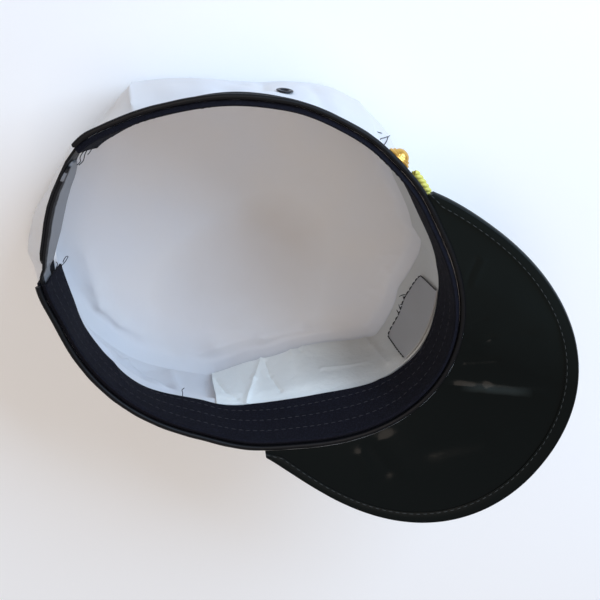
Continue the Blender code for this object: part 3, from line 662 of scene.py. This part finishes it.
# The badge: a plain felt patch outside and a smooth grey backing inside. One black sewing line runs
# round both, and its thread ends hang loose.
BACKING_AT = 31  # drop in mm from the rim, where the angles of its two sides are measured
BACKING_LEFT = (-10.6, -0.055)  # degrees there, and degrees more for each mm of drop
BACKING_RIGHT = (12.2, -0.075)
BACKING_DEEP = 70.4  # drop in mm of its lower edge
BACKING_SAG = 1.2  # mm that the middle of that edge hangs lower
BACKING_CORNERS = (0.16, 5, 0.22, 6)  # share of the width and mm of height, left and right
BACKING_TOP = 31.6  # drop in mm of its upper edge
BACKING_THICK = 0.8 * MM
THREAD_ENDS = (  # share along the sewing line, length in mm, sideways turn
    (0.455, 6, -0.5), (0.475, 2.2, 0.3), (0.535, 4.2, 0.25), (0.555, 4, 0.1), (0.505, 1.6, -0.4),
)
SEWN_STITCH = (3 * MM, 3.2 * MM, 0.34 * MM)  # length, pitch, thread's radius
BADGE_FROM, BADGE_TO = -13.3, 12  # degrees
BADGE_DROPS = (37.3, 70.1)  # mm
BADGE_CORNER = 6  # mm by which its corners are rounded off
BADGE_PUFF = 1.5 * MM  # thickness away from its edge


def rounding(near):
    """How far a rounded corner stands back, as a share: 1 - sqrt(1 - near ** 2), 0 below 0."""
    return 1 - np.sqrt(1 - np.clip(near, 0, 1) ** 2)


def backing_place(across, down):
    """Angle and drop in mm of a spot of the backing; both shares run from 0 to 1."""
    left, tall, right, high = BACKING_CORNERS
    lifted = (tall * rounding(1 - across / left)
              + high * rounding(1 - (1 - across) / right))
    deep = BACKING_DEEP + BACKING_SAG * 4 * across * (1 - across) - lifted
    drop = BACKING_TOP + (deep - BACKING_TOP) * down
    left_side = BACKING_LEFT[0] + BACKING_LEFT[1] * (drop - BACKING_AT)
    right_side = BACKING_RIGHT[0] + BACKING_RIGHT[1] * (drop - BACKING_AT)
    return left_side + (right_side - left_side) * across, drop


def black_thread(name="black_thread", colour=(0.008, 0.008, 0.01)):
    """Sewing thread."""
    return Finish(name, colour, 0.6, grain=(4000, 2, 0.05 * MM, 1), shine=0.2)


def read_row(points, far, places):
    """A row of points or vectors, known at distances far, read at other places along it."""
    return np.stack([np.interp(places, far, axis) for axis in points.T], axis=-1)


def add_stitches(name, line, ups, stitch, finish):
    """Adds running stitches on a row of points; ups are unit vectors out of the cloth there.

    A stitch is its length, the pitch from one to the next and the thread's radius.
    """
    length, pitch, thread = stitch
    far = running(line, False)
    share = np.linspace(0, 1, 7)[None]
    places = np.arange(0, far[-1] - length, pitch)[:, None] + share * length
    bow = np.sin(math.pi * share)[..., None]
    centres = read_row(line, far, places) + read_row(ups, far, places) * thread * (1.1 * bow - 0.5)
    radii = thread * np.array([0, 0.8, 1, 1, 1, 0.8, 0])
    add_piece(name, tubes(centres, radii, 6, finish))


across, down = grid(np.sin(np.linspace(-0.5, 0.5, 81) * math.pi) / 2 + 0.5, np.linspace(0, 1, 41))
back_angles, back_drops = backing_place(across, down)
back_inside = stiff_wall.points(back_angles, RIM_HEIGHT - back_drops * MM, 0.4 * MM + BACKING_THICK)
backing_finish = Finish("grey_backing", (0.36, 0.36, 0.365), 0.55, grain=(60, 2, 0.2 * MM, 0.3),
                        shine=0.3)
add_sheet("badge_back_sheet", "grey_backing", "badge_backing", 0.041,
          sheet_loops(back_inside, BACKING_THICK), backing_finish)

run = np.linspace(0, 1, 160)
sides = np.sin((run - 0.5) * math.pi) / 2 + 0.5
sewn_across = np.concatenate([run * 0 + 1, 1 - sides, run * 0])
sewn_down = np.concatenate([run, run * 0 + 1, 1 - run])
sewn_angles, sewn_drops = backing_place(sewn_across, sewn_down)
sewn_line = stiff_wall.points(sewn_angles, RIM_HEIGHT - sewn_drops * MM, 1.3 * MM)
sewn_far = running(sewn_line, False)
sewn_line = read_row(sewn_line, sewn_far, np.arange(0, sewn_far[-1], 0.5 * MM))
sewn_up = -sewn_line * (1, 1, 0) / np.linalg.norm(sewn_line[:, :2], axis=-1, keepdims=True)
add_stitches("badge_stitches", sewn_line, sewn_up, SEWN_STITCH, black_thread())
ends = []
for share, length, turn in THREAD_ENDS:
    index = int(share * len(sewn_line))
    sway = np.cross(sewn_up[index], (0, 0, 1)) * turn
    reach = np.linspace(0, 1, 9)[:, None]
    way = sewn_up[index] * 0.25 + sway * (0.4 + reach) - np.array([0, 0, 0.95])
    ends.append(sewn_line[index] + way * reach * length * MM)
thin = 0.26 * MM * np.array([1, 1, 1, 1, 1, 1, 0.9, 0.8, 0])
add_piece("badge_thread_ends", tubes(np.array(ends), thin, 6, black_thread("black_ends"), False))

badge_angles, badge_share = grid(np.linspace(BADGE_FROM, BADGE_TO, 61), np.linspace(0, 1, 49))
side = np.abs(badge_angles - (BADGE_FROM + BADGE_TO) / 2) / ((BADGE_TO - BADGE_FROM) / 2)
trim = BADGE_CORNER * (1 - np.sqrt(1 - np.clip((side - 0.7) / 0.3, 0, 0.98) ** 2))
badge_drops = (BADGE_DROPS[0] + trim) + (BADGE_DROPS[1] - BADGE_DROPS[0] - 2 * trim) * badge_share
badge_wall = Wall("crown_side", np.linspace(22, 61.5, 5) * MM)
edge_fall = np.minimum(1 - side, np.minimum(badge_share, 1 - badge_share) * 1.6)
puff = BADGE_PUFF * np.clip(edge_fall / 0.06, 0, 1) ** 0.5
badge_face = badge_wall.points(badge_angles, RIM_HEIGHT - badge_drops * MM, -0.35 * MM - puff)
badge_back = badge_wall.points(badge_angles, RIM_HEIGHT - badge_drops * MM, -0.3 * MM)
felt = Finish("black_felt", (0.012, 0.012, 0.015), 0.95, grain=(1400, 4, 0.3 * MM, 0.8),
              shine=0.15, Sheen_Weight=0.2)
add_sheet("badge_felt_patch", "badge_felt", "badge", 0.0405, between(badge_back, badge_face), felt)


# The band: a strip of plain black cloth round the outside of the crown's lower edge. Its own lower
# edge waves a little.
RING_FROM, RING_TO = -157.5, 162  # degrees, the opening at the back lies between
BAND_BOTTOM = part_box("band")[0].z
BAND_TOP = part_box("band")[1].z
BAND_THICK = 1.1 * MM
BAND_WAVE = 0.25 * MM  # how far its lower edge waves
band_wall = Wall("band", (BAND_BOTTOM + 0.1 * MM, (BAND_BOTTOM + BAND_TOP) / 2, BAND_TOP - 0.1 * MM))


def black_cloth(name, pitch, colour, relief):
    """Blue-black woven cloth with a trace of lint."""
    finish = Finish(name, colour, 0.85, shine=0.12)
    fibres = finish.noise(1500, 3)
    paler = tuple(part * 2.6 + 0.002 for part in colour)
    finish.colour((fibres * 3.2 - 1.5).clamped(), colour, paler)
    finish.bump(finish.weave(pitch), relief, 0.7)
    finish.grain(500, 3, 0.2 * MM, 0.4)
    return finish


band_angles, band_heights = grid(np.linspace(RING_FROM, RING_TO, 480),
                                 np.linspace(BAND_BOTTOM, BAND_TOP, 22))
band_wave = BAND_WAVE * np.sin(np.radians(band_angles * 7)) * (BAND_TOP - band_heights) / 0.036
band_face = band_wall.points(band_angles, band_heights, -band_wave)
band_finish = black_cloth("band_cloth", 0.8 * MM, (0.0045, 0.0048, 0.0075), 0.12 * MM)
add_sheet("band_cloth", "black_cloth", "band", BAND_TOP - BAND_BOTTOM,
          sheet_loops(band_face, -BAND_THICK), band_finish)


# The sweatband: a blue-black tape inside the rim with three rows of stitches. Its free edge is a
# little wavy and curls over in one place.
TAPE_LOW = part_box("sweatband")[0].z
TAPE_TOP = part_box("sweatband")[1].z
TAPE_THICK = 1.1 * MM
TAPE_LIP = 2.3 * MM  # height of the lip that meets the piping
LIP_THICKER = 1.5 * MM
TAPE_FOLDS = (  # angle and height in mm of both ends, half width, height, power
    (-120, 71, -112, 84, 3, 0.5, 1.6), (-20, 70, -14, 92, 2.5, 0.6, 1.5),
    (20, 72, 26, 90, 3, 0.5, 1.5), (130, 70, 124, 90, 3, 0.5, 1.5),
)
TAPE_CREASE = (  # angle, height in mm of the crease over the free edge
    (-80, 0), (-66, 1.5), (-57, 4.6), (-46, 5.8), (-36, 6.6), (-27, 6),
    (-14, 3.5), (-5, 0),
)
CREASE_TURN = 0.25  # how much the cloth below it turns inwards
TAPE_REACH = (  # angle, drop in mm of the free edge
    (-157.5, 30), (-148, 29), (-136, 27.2), (-124, 26.6), (-112, 27.4),
    (-100, 28.6), (-82, 30), (-40, 30), (-22, 29.2), (-6, 28.8), (6, 29),
    (16, 30), (34, 29.4), (50, 30), (162, 30),
)
TAPE_STAND = (  # angle, mm that the free edge stands off the crown
    (-157.5, 0.6), (-148, 0), (-118, -0.5), (-100, 0), (62, 0), (84, -0.6),
    (138, -0.4), (146, 0.2), (151, 1.6), (156, 2.8), (162, 3),
)
TAPE_ROWS = (25.5, 17.5, 9)  # drops in mm of the rows of stitches
TAPE_STITCH = (2.6 * MM, 3.6 * MM, 0.16 * MM)
TAPE_WAVE = 0.35 * MM  # how far the free edge waves
tape_wall = Wall("sweatband", (TAPE_LOW + 0.1 * MM, 82 * MM, TAPE_TOP - 3 * MM), inside=True)


def table_at(table, angles):
    """Length in metres that a table of angles and mm gives at angles."""
    return np.interp(angles, *np.array(table).T) * MM


def tape_face(angles, heights):
    """Points of the tape's inner face; below a slanting crease its free edge turns inwards."""
    low = np.clip((88 * MM - heights) / (16 * MM), 0, 1)
    wave = TAPE_WAVE * low * (np.sin(np.radians(angles * 11)) + np.sin(np.radians(angles * 4.3)))
    raised = wall_folds(angles, heights, TAPE_FOLDS) + wave
    crease = TAPE_LOW + table_at(TAPE_CREASE, angles)
    raised += CREASE_TURN * np.clip(crease - heights, 0, None)
    away = (TAPE_TOP - heights) / (TAPE_TOP - TAPE_LOW)
    raised += table_at(TAPE_STAND, angles) * away ** 1.5
    over = np.clip((heights - (TAPE_TOP - 1.2 * MM)) / (1.2 * MM), 0, 1)
    return tape_wall.points(angles, heights, raised - 0.6 * MM * over ** 2)


tape_angles, tape_share = grid(np.linspace(RING_FROM, RING_TO, 640), np.linspace(0, 1, 46))
tape_low = RIM_HEIGHT - table_at(TAPE_REACH, tape_angles)
tape_heights = tape_low + (TAPE_TOP - tape_low) * tape_share
tape_inside = tape_face(tape_angles, tape_heights)
lip = np.clip((tape_heights - (TAPE_TOP - TAPE_LIP)) / (0.4 * MM), 0, 1)
tape_thick = (TAPE_THICK + LIP_THICKER * lip)[..., None]
tape_outside = tape_inside + facing(tape_inside, False) * tape_thick
add_sheet("sweatband_tape", "sweatband_tape", "sweatband", TAPE_TOP - TAPE_LOW,
          between(tape_inside, tape_outside),
          black_cloth("tape_cloth", 0.7 * MM, (0.0042, 0.0045, 0.0085), 0.1 * MM))
row_angles = np.linspace(RING_FROM + 0.5, RING_TO - 0.5, 1600)
row_up = -spot(1, row_angles, 0)
pale_thread = black_thread("pale_thread", (0.026, 0.026, 0.032))
for number, drop in enumerate(TAPE_ROWS):
    wander = 0.3 * MM * np.sin(np.radians(row_angles * 5 + number * 70))
    line = tape_face(row_angles, RIM_HEIGHT - drop * MM + wander)
    add_stitches(f"tape_stitches_{number + 1}", line, row_up, TAPE_STITCH, pale_thread)


# The piping: a cord covered in black satin along the rim. It is open at the back, and its thickness
# varies a little with the pull of its seam.
PIPING_RADIUS = 1.4 * MM
PIPING_HEIGHT = RIM_HEIGHT - PIPING_RADIUS
PIPING_FLAT = PIPING_RADIUS * math.cos(math.pi / 6)  # the CAD's piping has six flat sides
piping_wall = Wall("piping", (PIPING_HEIGHT,))
satin = Finish("black_satin", (0.004, 0.004, 0.005), 0.42, grain=(700, 2, 0.25 * MM, 0.35),
               shine=0.16)
piping_angles = np.linspace(RING_FROM, RING_TO, 560)
piping_line = piping_wall.points(piping_angles, PIPING_HEIGHT, PIPING_FLAT)
piping_thick = PIPING_RADIUS * (0.96 + 0.03 * np.sin(np.radians(piping_angles * 37)))
piping_line[[0, -1]] = piping_line[[1, -2]] + 0.02 * MM
add_piece("piping_cord", tubes(piping_line[None], piping_thick, 16, satin),
          "piping")


# The peak: a glossy black board with fine creases pressed into it, and the folded edging that is
# sewn round it.
PEAK_SLOPE = 0.4  # rise for each unit of reach
PEAK_DROP = 1.5 * MM  # of the board's middle at the rim
PEAK_THICK = 1.6 * MM
EDGE_THICK = 0.7 * MM
EDGE_WIDTH = 6 * MM
EDGE_NARROW = 0.35  # at the peak's ends the edging leaves this share of the reach free
PEAK_CREASES = (  # x and y in mm of both ends, half width, height, power
    (36, -98.7, 50.6, -96.4, 1.1, -0.9, 1.4), (39, -101.5, 52, -99.5, 1.4, 0.5, 1.4),
    (19.3, -110.4, 25.2, -114.2, 1.2, -0.7, 1.3), (10.3, -114.3, 18, -121, 1.6, -0.6, 1.3),
    (18, -121, 28.4, -134.5, 2, -0.5, 1.4), (0.9, -115.3, 9.6, -128, 1.5, -0.6, 1.3),
    (-14.2, -112.1, -6, -130, 2.4, 0.8, 1.6), (-6, -130, 4.7, -152, 3, 0.7, 1.6),
    (-63, -88.8, -70, -96.3, 2.6, 0.3, 1.8), (-58, -92, -64.5, -104, 3.2, -0.35, 1.8),
    (-50, -98, -60, -112, 4.5, 0.4, 2), (67.7, -69, 68.8, -77.8, 1.5, 0.5, 1.3),
    (40, -110, 37, -138, 7, 0.6, 2), (-46, -119, -30.5, -138, 5, -0.5, 2),
)
# A painted highlight on the peak: a pale streak of painted sheen.
PEAK_PAINTED_SHEEN = (-11, -119, 3, -149, 2.6)  # x and y in mm of both ends, half width
PEAK_STITCH = (2.4 * MM, 3.4 * MM, 0.16 * MM)


def peak_column(node, pick):
    """Angles and radii of a peak piece's columns, where pick is the least or greatest radius."""
    corners = np.array([corner.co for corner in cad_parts[node].data.vertices])
    angles = np.round(np.degrees(np.arctan2(corners[:, 0], -corners[:, 1])), 1)
    radii = np.hypot(corners[:, 0], corners[:, 1])
    knots = np.unique(angles)
    return knots, np.array([pick(radii[angles == knot]) for knot in knots])


peak_tilt = math.atan(PEAK_SLOPE)
peak_knots, peak_root = peak_column("peak", np.min)
peak_root = peak_root + PEAK_THICK / 2 * math.sin(peak_tilt)
peak_reach = peak_column("peak_binding", np.max)[1] - peak_root


def peak_at(values, angles):
    """Value at angles, from the values at the peak's columns."""
    return curve(peak_knots, values, np.ravel(angles)).reshape(np.shape(angles))


def peak_points(angles, reach, lift):
    """Points of the peak: reach runs out from its root, lift is square to the board's slope."""
    out = peak_at(peak_root, angles) + reach - lift * math.sin(peak_tilt)
    height = RIM_HEIGHT - PEAK_DROP + reach * PEAK_SLOPE + lift * math.cos(peak_tilt)
    return spot(out, angles, height)


def gloss(name, roughness, painted_sheen=0):
    """Glossy black sheet with a faint orange-peel surface, paler towards one side: painted
    reflection.

    The last argument sets a painted highlight: a pale streak, which runs out from the rim.
    """
    finish = Finish(name, (0.003, 0.004, 0.004), roughness, shine=0.1)
    x, y, _ = finish.parts("Object")
    # Painted reflection: the sheet is paler towards +x.
    side = ((x - 0.012) * 28 + finish.noise(25, 3) * 0.8 - 0.4).clamped()
    # Painted highlight: a pale streak, as if the peak shone along it.
    x0, y0, x1, y1, width = (part * MM for part in PEAK_PAINTED_SHEEN)
    long = math.hypot(x1 - x0, y1 - y0)
    way_x, way_y = (x1 - x0) / long, (y1 - y0) / long
    along = ((x - x0) * way_x + (y - y0) * way_y) * (1 / long)
    off = ((x - x0) * way_y - (y - y0) * way_x) * (1 / width)
    off = off + finish.noise(60) * 1.2 - 0.6
    streak = (1 - off * off).clamped() * (along * (1 - along) * 5).clamped() * painted_sheen
    dark = finish.mix(side, (0.0022, 0.0036, 0.0036), (0.0055, 0.0085, 0.0085))
    finish.colour(streak, dark, (0.017, 0.022, 0.022))
    finish.grain(45, 3, 0.8 * MM, 0.35)
    finish.grain(420, 2, 0.06 * MM, 0.4)
    return finish


peak_span = np.linspace(peak_knots[0], peak_knots[-1], 340)
board_angles, board_share = grid(peak_span, np.linspace(0, 1, 70))
board_edge = np.maximum(peak_at(peak_reach, board_angles) - EDGE_THICK - 0.3 * MM, 0.3 * MM)
board_reach = -0.3 * MM + (board_edge + 0.3 * MM) * board_share
board_top = peak_points(board_angles, board_reach, PEAK_THICK / 2)
pressed = folds(board_top[..., 0], board_top[..., 1], PEAK_CREASES)
pressed *= np.clip((1 - board_share) * 8, 0, 1) * np.clip(board_share * 12, 0, 1)
board_top = peak_points(board_angles, board_reach, PEAK_THICK / 2 + pressed)
board_low = peak_points(board_angles, board_reach, -PEAK_THICK / 2 + 0.8 * pressed)
add_piece("peak_board", loft(between(board_top, board_low), gloss("peak_gloss", 0.14, 1)),
          "peak")

edge_reach = peak_at(peak_reach, peak_span)[:, None]
edge_wall = edge_reach - EDGE_THICK
edge_lap = np.maximum(edge_wall - EDGE_WIDTH + EDGE_THICK, edge_wall * EDGE_NARROW)
edge_low = PEAK_THICK / 2 + 0.25 * MM
edge_high = PEAK_THICK / 2 + 0.3 * MM + EDGE_THICK
bends = np.linspace(math.pi / 2, -math.pi / 2, 11)[None]
laps = np.linspace(0, 1, 8)[None]
swell = EDGE_THICK * 0.25 * np.sin(math.pi * laps)
edge_out = edge_lap + (edge_wall - edge_lap) * laps
edge_back = edge_wall + (edge_lap - edge_wall) * laps
edge_loop = np.concatenate([edge_out, edge_wall + EDGE_THICK * np.cos(bends), edge_back,
                            edge_out, edge_back], axis=1)
edge_lift = np.concatenate([edge_high - EDGE_THICK * 0.25 + swell, edge_high * np.sin(bends),
                            -edge_high + EDGE_THICK * 0.25 - swell, -edge_low + 0 * laps,
                            edge_low + 0 * laps], axis=1)
edge_points = peak_points(peak_span[:, None], edge_loop, edge_lift)
add_piece("peak_edging", loft(edge_points, gloss("edging_gloss", 0.28)),
          "peak_binding")
sewn_reach = (edge_lap + 0.7 * MM)[:, 0]
sewn_edge = peak_points(peak_span, sewn_reach, edge_high + 0.05 * MM)
upright = np.tile((0, 0, 1), (peak_span.size, 1))
add_stitches("peak_stitches", sewn_edge, upright, PEAK_STITCH,
             black_thread("grey_thread", (0.045, 0.05, 0.05)))


# The snap straps keep their CAD shape: hard black plastic. The inner one is painted grey below a
# height, as painted light on its lit face. Their slots are painted.
def plastic(name, low, high, level, slots):
    """Moulded plastic of two shades, which meet at a height, with pale slots painted on.

    A slot is a stretch of x at a height: x of its middle, half length, height, half width, in mm.
    """
    finish = Finish(name, low, 0.45, shine=0.12)
    x, _, z = finish.parts("Object")
    mottle = finish.noise(400, 3)
    shade = finish.mix(((z - level) * 900 + mottle - 0.5).clamped(), low, high)
    for middle, half, height, wide in slots:
        inside = (half * MM - (x - middle * MM).work("ABSOLUTE")) * SLOT_EDGE
        beside = (wide * MM - (z - height * MM).work("ABSOLUTE")) * SLOT_EDGE
        shade = finish.mix(inside.clamped() * beside.clamped(), shade, (0.15, 0.15, 0.16))
    finish.vary("Base Color", shade)
    finish.bump(mottle, 0.1 * MM, 0.3)
    return finish.material


SLOT_EDGE = 4000  # sharpness of a slot's edge, per metre
STRAP_BLACK = (0.008, 0.008, 0.009)
# Painted light: the grey of the inner strap's lit face.
STRAP_PAINTED_LIGHT = (0.24, 0.24, 0.25)
HOLES_SLOTS = ((22.7, 0.9, 88.4, 0.6), (23, 1.2, 85.6, 0.6))
PEGS_SLOTS = ((15.4, 2.1, 96, 1.2),)
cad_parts["strap_with_holes"].material_slots[0].material = plastic(
    "strap_black", STRAP_BLACK, STRAP_BLACK, 0, HOLES_SLOTS)
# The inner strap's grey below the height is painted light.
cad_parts["strap_with_pegs"].material_slots[0].material = plastic(
    "strap_painted_light", STRAP_PAINTED_LIGHT, STRAP_BLACK, 92.5 * MM, PEGS_SLOTS)


# The front cord: two gold plies twisted round each other. It is sewn down along the band, from one
# button to the other.
CORD_RADIUS = 2 * MM
CORD_FLAT = CORD_RADIUS * math.cos(math.pi / 8)  # the CAD's cord has eight flat sides
CORD_HEIGHT = RIM_HEIGHT - 13 * MM
CORD_FROM, CORD_TO = -61.7, 53.7  # degrees
CORD_PITCH = 5 * MM  # length of one turn of the plies
cord_wall = Wall("front_cord", (CORD_HEIGHT,))
cord_angles = np.linspace(CORD_FROM, CORD_TO, 420)
cord_line = cord_wall.points(cord_angles, CORD_HEIGHT, CORD_FLAT)
cord_turn = running(cord_line, False) * 2 * math.pi / CORD_PITCH
cord_out = spot(1, cord_angles, 0)
plies = []
for phase in (0, math.pi):
    turn = (cord_turn + phase)[:, None]
    sway = cord_out * np.cos(turn) + np.array([0, 0, 1]) * np.sin(turn)
    plies.append(cord_line + sway * CORD_RADIUS * 0.38)
gold_thread = Finish("gold_thread", (0.72, 0.68, 0.14), 0.5, 0.1, (1500, 2, 0.2 * MM, 0.6))
add_piece("gold_cord", tubes(np.array(plies), CORD_RADIUS * 0.62, 10, gold_thread),
          "front_cord")


# The buttons: domed brass with a raised rim and a rope ring. The black eyelet in the crown is turned
# in the same way.
BUTTON_PROFILE = (  # share of the radius, share of the rise
    (0, 0), (0.9, 0), (0.97, 0.03), (1, 0.12), (1, 0.18), (0.97, 0.27), (0.92, 0.31),
    (0.86, 0.31), (0.82, 0.33), (0.78, 0.42), (0.74, 0.47), (0.69, 0.47), (0.65, 0.5),
    (0.6, 0.64), (0.5, 0.79), (0.38, 0.89), (0.24, 0.96), (0.12, 0.99), (0, 1),
)
ROPE_RING = (0.66, 0.84)  # shares of the radius between which the rope's strands show
ROPE_STRANDS = 26
ROPE_HIGH = 0.35 * MM
BUTTON_AROUND = 96
BUTTON_ROWS = 110
EYELET_AROUND = 48
EYELET_HOLE = 2 * MM
EYELET_BARREL = 2.6 * MM
EYELET_LIP = 0.6 * MM


def axis_of(node):
    """Middle, two cross axes and outward axis of a turned CAD node, its reach and its radius."""
    corners = np.array([corner.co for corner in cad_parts[node].data.vertices])
    middle = corners.mean(axis=0)
    sizes, axes = np.linalg.eigh(np.cov((corners - middle).T))
    main = axes[:, np.argmax(np.abs(sizes - np.median(sizes)))]
    main = main if main[:2] @ middle[:2] > 0 else -main
    cross = np.cross(main, (0, 0, 1))
    cross /= np.linalg.norm(cross)
    up = np.cross(cross, main)
    along = (corners - middle) @ main
    wide = np.linalg.norm(corners - middle - along[:, None] * main, axis=1).max()
    return middle, cross, up, main, along.min(), along.max(), wide


def turned(node, radii, heights, finish):
    """Mesh of a turned piece; radii and heights along its axis have a row for each turn."""
    middle, cross, up, main = axis_of(node)[:4]
    sides = len(radii)
    turns = np.arange(sides) * 2 * math.pi / sides
    ring = cross * np.cos(turns)[:, None] + up * np.sin(turns)[:, None]
    points = middle + ring[:, None] * radii[..., None] + main * heights[..., None]
    return loft(points, finish, ring=True, sharp=60)


brass = Finish("brass", (0.72, 0.43, 0.1), 0.28, 1, (900, 2, 0.12 * MM, 0.5))
enamel = Finish("black_enamel", (0.012, 0.012, 0.018), 0.3, 0.5)
enamel.vary("Roughness", enamel.noise(800) * 0.3 + 0.2)
button_rows = np.array(BUTTON_PROFILE)
button_share = np.linspace(0, 1, BUTTON_ROWS)
button_knots = np.linspace(0, 1, len(button_rows))
button_radius, button_rise = (np.interp(button_share, button_knots, row) for row in button_rows.T)
strand_turns = np.arange(BUTTON_AROUND)[:, None] * 2 * math.pi / BUTTON_AROUND
in_ring = np.clip((button_radius - ROPE_RING[0]) * 30, 0, 1) * np.clip(
    (ROPE_RING[1] - button_radius) * 30, 0, 1) * (button_rise > 0.3)
strands = np.abs(np.sin(strand_turns * ROPE_STRANDS / 2 + button_radius * 14)) * in_ring
for node in ("button_right", "button_left"):
    low, high, wide = axis_of(node)[4:]
    radii = np.broadcast_to(button_radius * wide, strands.shape)
    heights = low + (high - low) * button_rise + strands * ROPE_HIGH
    add_piece(node + "_brass", turned(node, radii, heights, brass), node)
low, high, wide = axis_of("eyelet_right")[4:]
bends = np.linspace(0, math.pi, 9)
outer = (EYELET_HOLE + wide) / 2 - (wide - EYELET_HOLE) / 2 * np.cos(bends)
radii = np.concatenate([outer, [EYELET_BARREL, EYELET_BARREL], outer[::-1]])
bulge = EYELET_LIP * np.sin(bends)
heights = np.concatenate([high - EYELET_LIP + bulge, [high - EYELET_LIP, low + EYELET_LIP],
                          low + EYELET_LIP - bulge])
profile = [np.broadcast_to(part, (EYELET_AROUND, radii.size)) for part in (radii, heights)]
add_piece("eyelet_right_ring", turned("eyelet_right", *profile, enamel),
          "eyelet_right")


# Loose threads: at the crown beside the right button, at the tape's ends and on its free edge. Each
# follows its wall at a small distance.
CROWN_THREADS = (  # rows of angle, height in mm and distance in mm from the cloth
    ((67.4, 57, 0.2), (66.3, 54.8, 0.5), (64.9, 50.6, 0.6), (63.2, 49.1, 0.5), (60.9, 45.1, 0.9)),
    ((61.6, 55, 0.2), (61.3, 52.9, 0.5), (59.4, 45.3, 0.5), (56.6, 31.7, 0.6), (56.2, 29, 0.9)),
    ((57.2, 35.3, 0.5), (58, 41, 0.5), (58.5, 46.4, 0.5), (59.4, 53.9, 0.5), (59.9, 57, 0.1)),
)
TAPE_THREADS = (  # the same beside the tape's ends, from the tape's inner face
    ((-156.5, 72, 0.3), (-157.6, 68, 2.5), (-158.9, 66, 3.8), (-159.6, 69, 3.4),
     (-158.8, 71.5, 2.6), (-157.7, 69.5, 2)),
    ((-89.8, 71, 0.2), (-89.9, 68, 0.6), (-90.3, 66, 1.2), (-89.4, 63.5, 1.4)),
    ((159, 76, 0.2), (161.5, 74, 1), (163.5, 75.5, 1.6), (165, 73, 1.2)),
    ((160, 84, 0.2), (163, 85, 1), (165.5, 83, 1.8), (167, 86, 1.4)),
    ((160.5, 92, 0.2), (163.5, 93, 0.8), (165, 90, 1.6), (166.4, 91, 1.2)),
    ((-156.8, 80, 0.2), (-158.4, 81, 0.8), (-159.4, 79, 1.4), (-160.6, 80.5, 1)),
)
THREAD = 0.2 * MM


def loose_threads(name, wall, outwards, rows):
    """Adds a set of threads that follow a wall; each row is a smooth curve through its spots."""
    lines = []
    for row in rows:
        angles, heights, away = np.array(row).T
        knots = np.linspace(0, 1, len(row))
        steps = np.linspace(0, 1, 24)
        angles, heights, away = (curve(knots, part, steps) for part in (angles, heights, away))
        lines.append(wall.points(angles, heights * MM, -outwards * away * MM))
    add_piece(name, tubes(np.array(lines), THREAD, 6, black_thread(name)))


loose_threads("crown_threads", crown_low, 1, CROWN_THREADS)
loose_threads("tape_threads", tape_wall, -1, TAPE_THREADS)
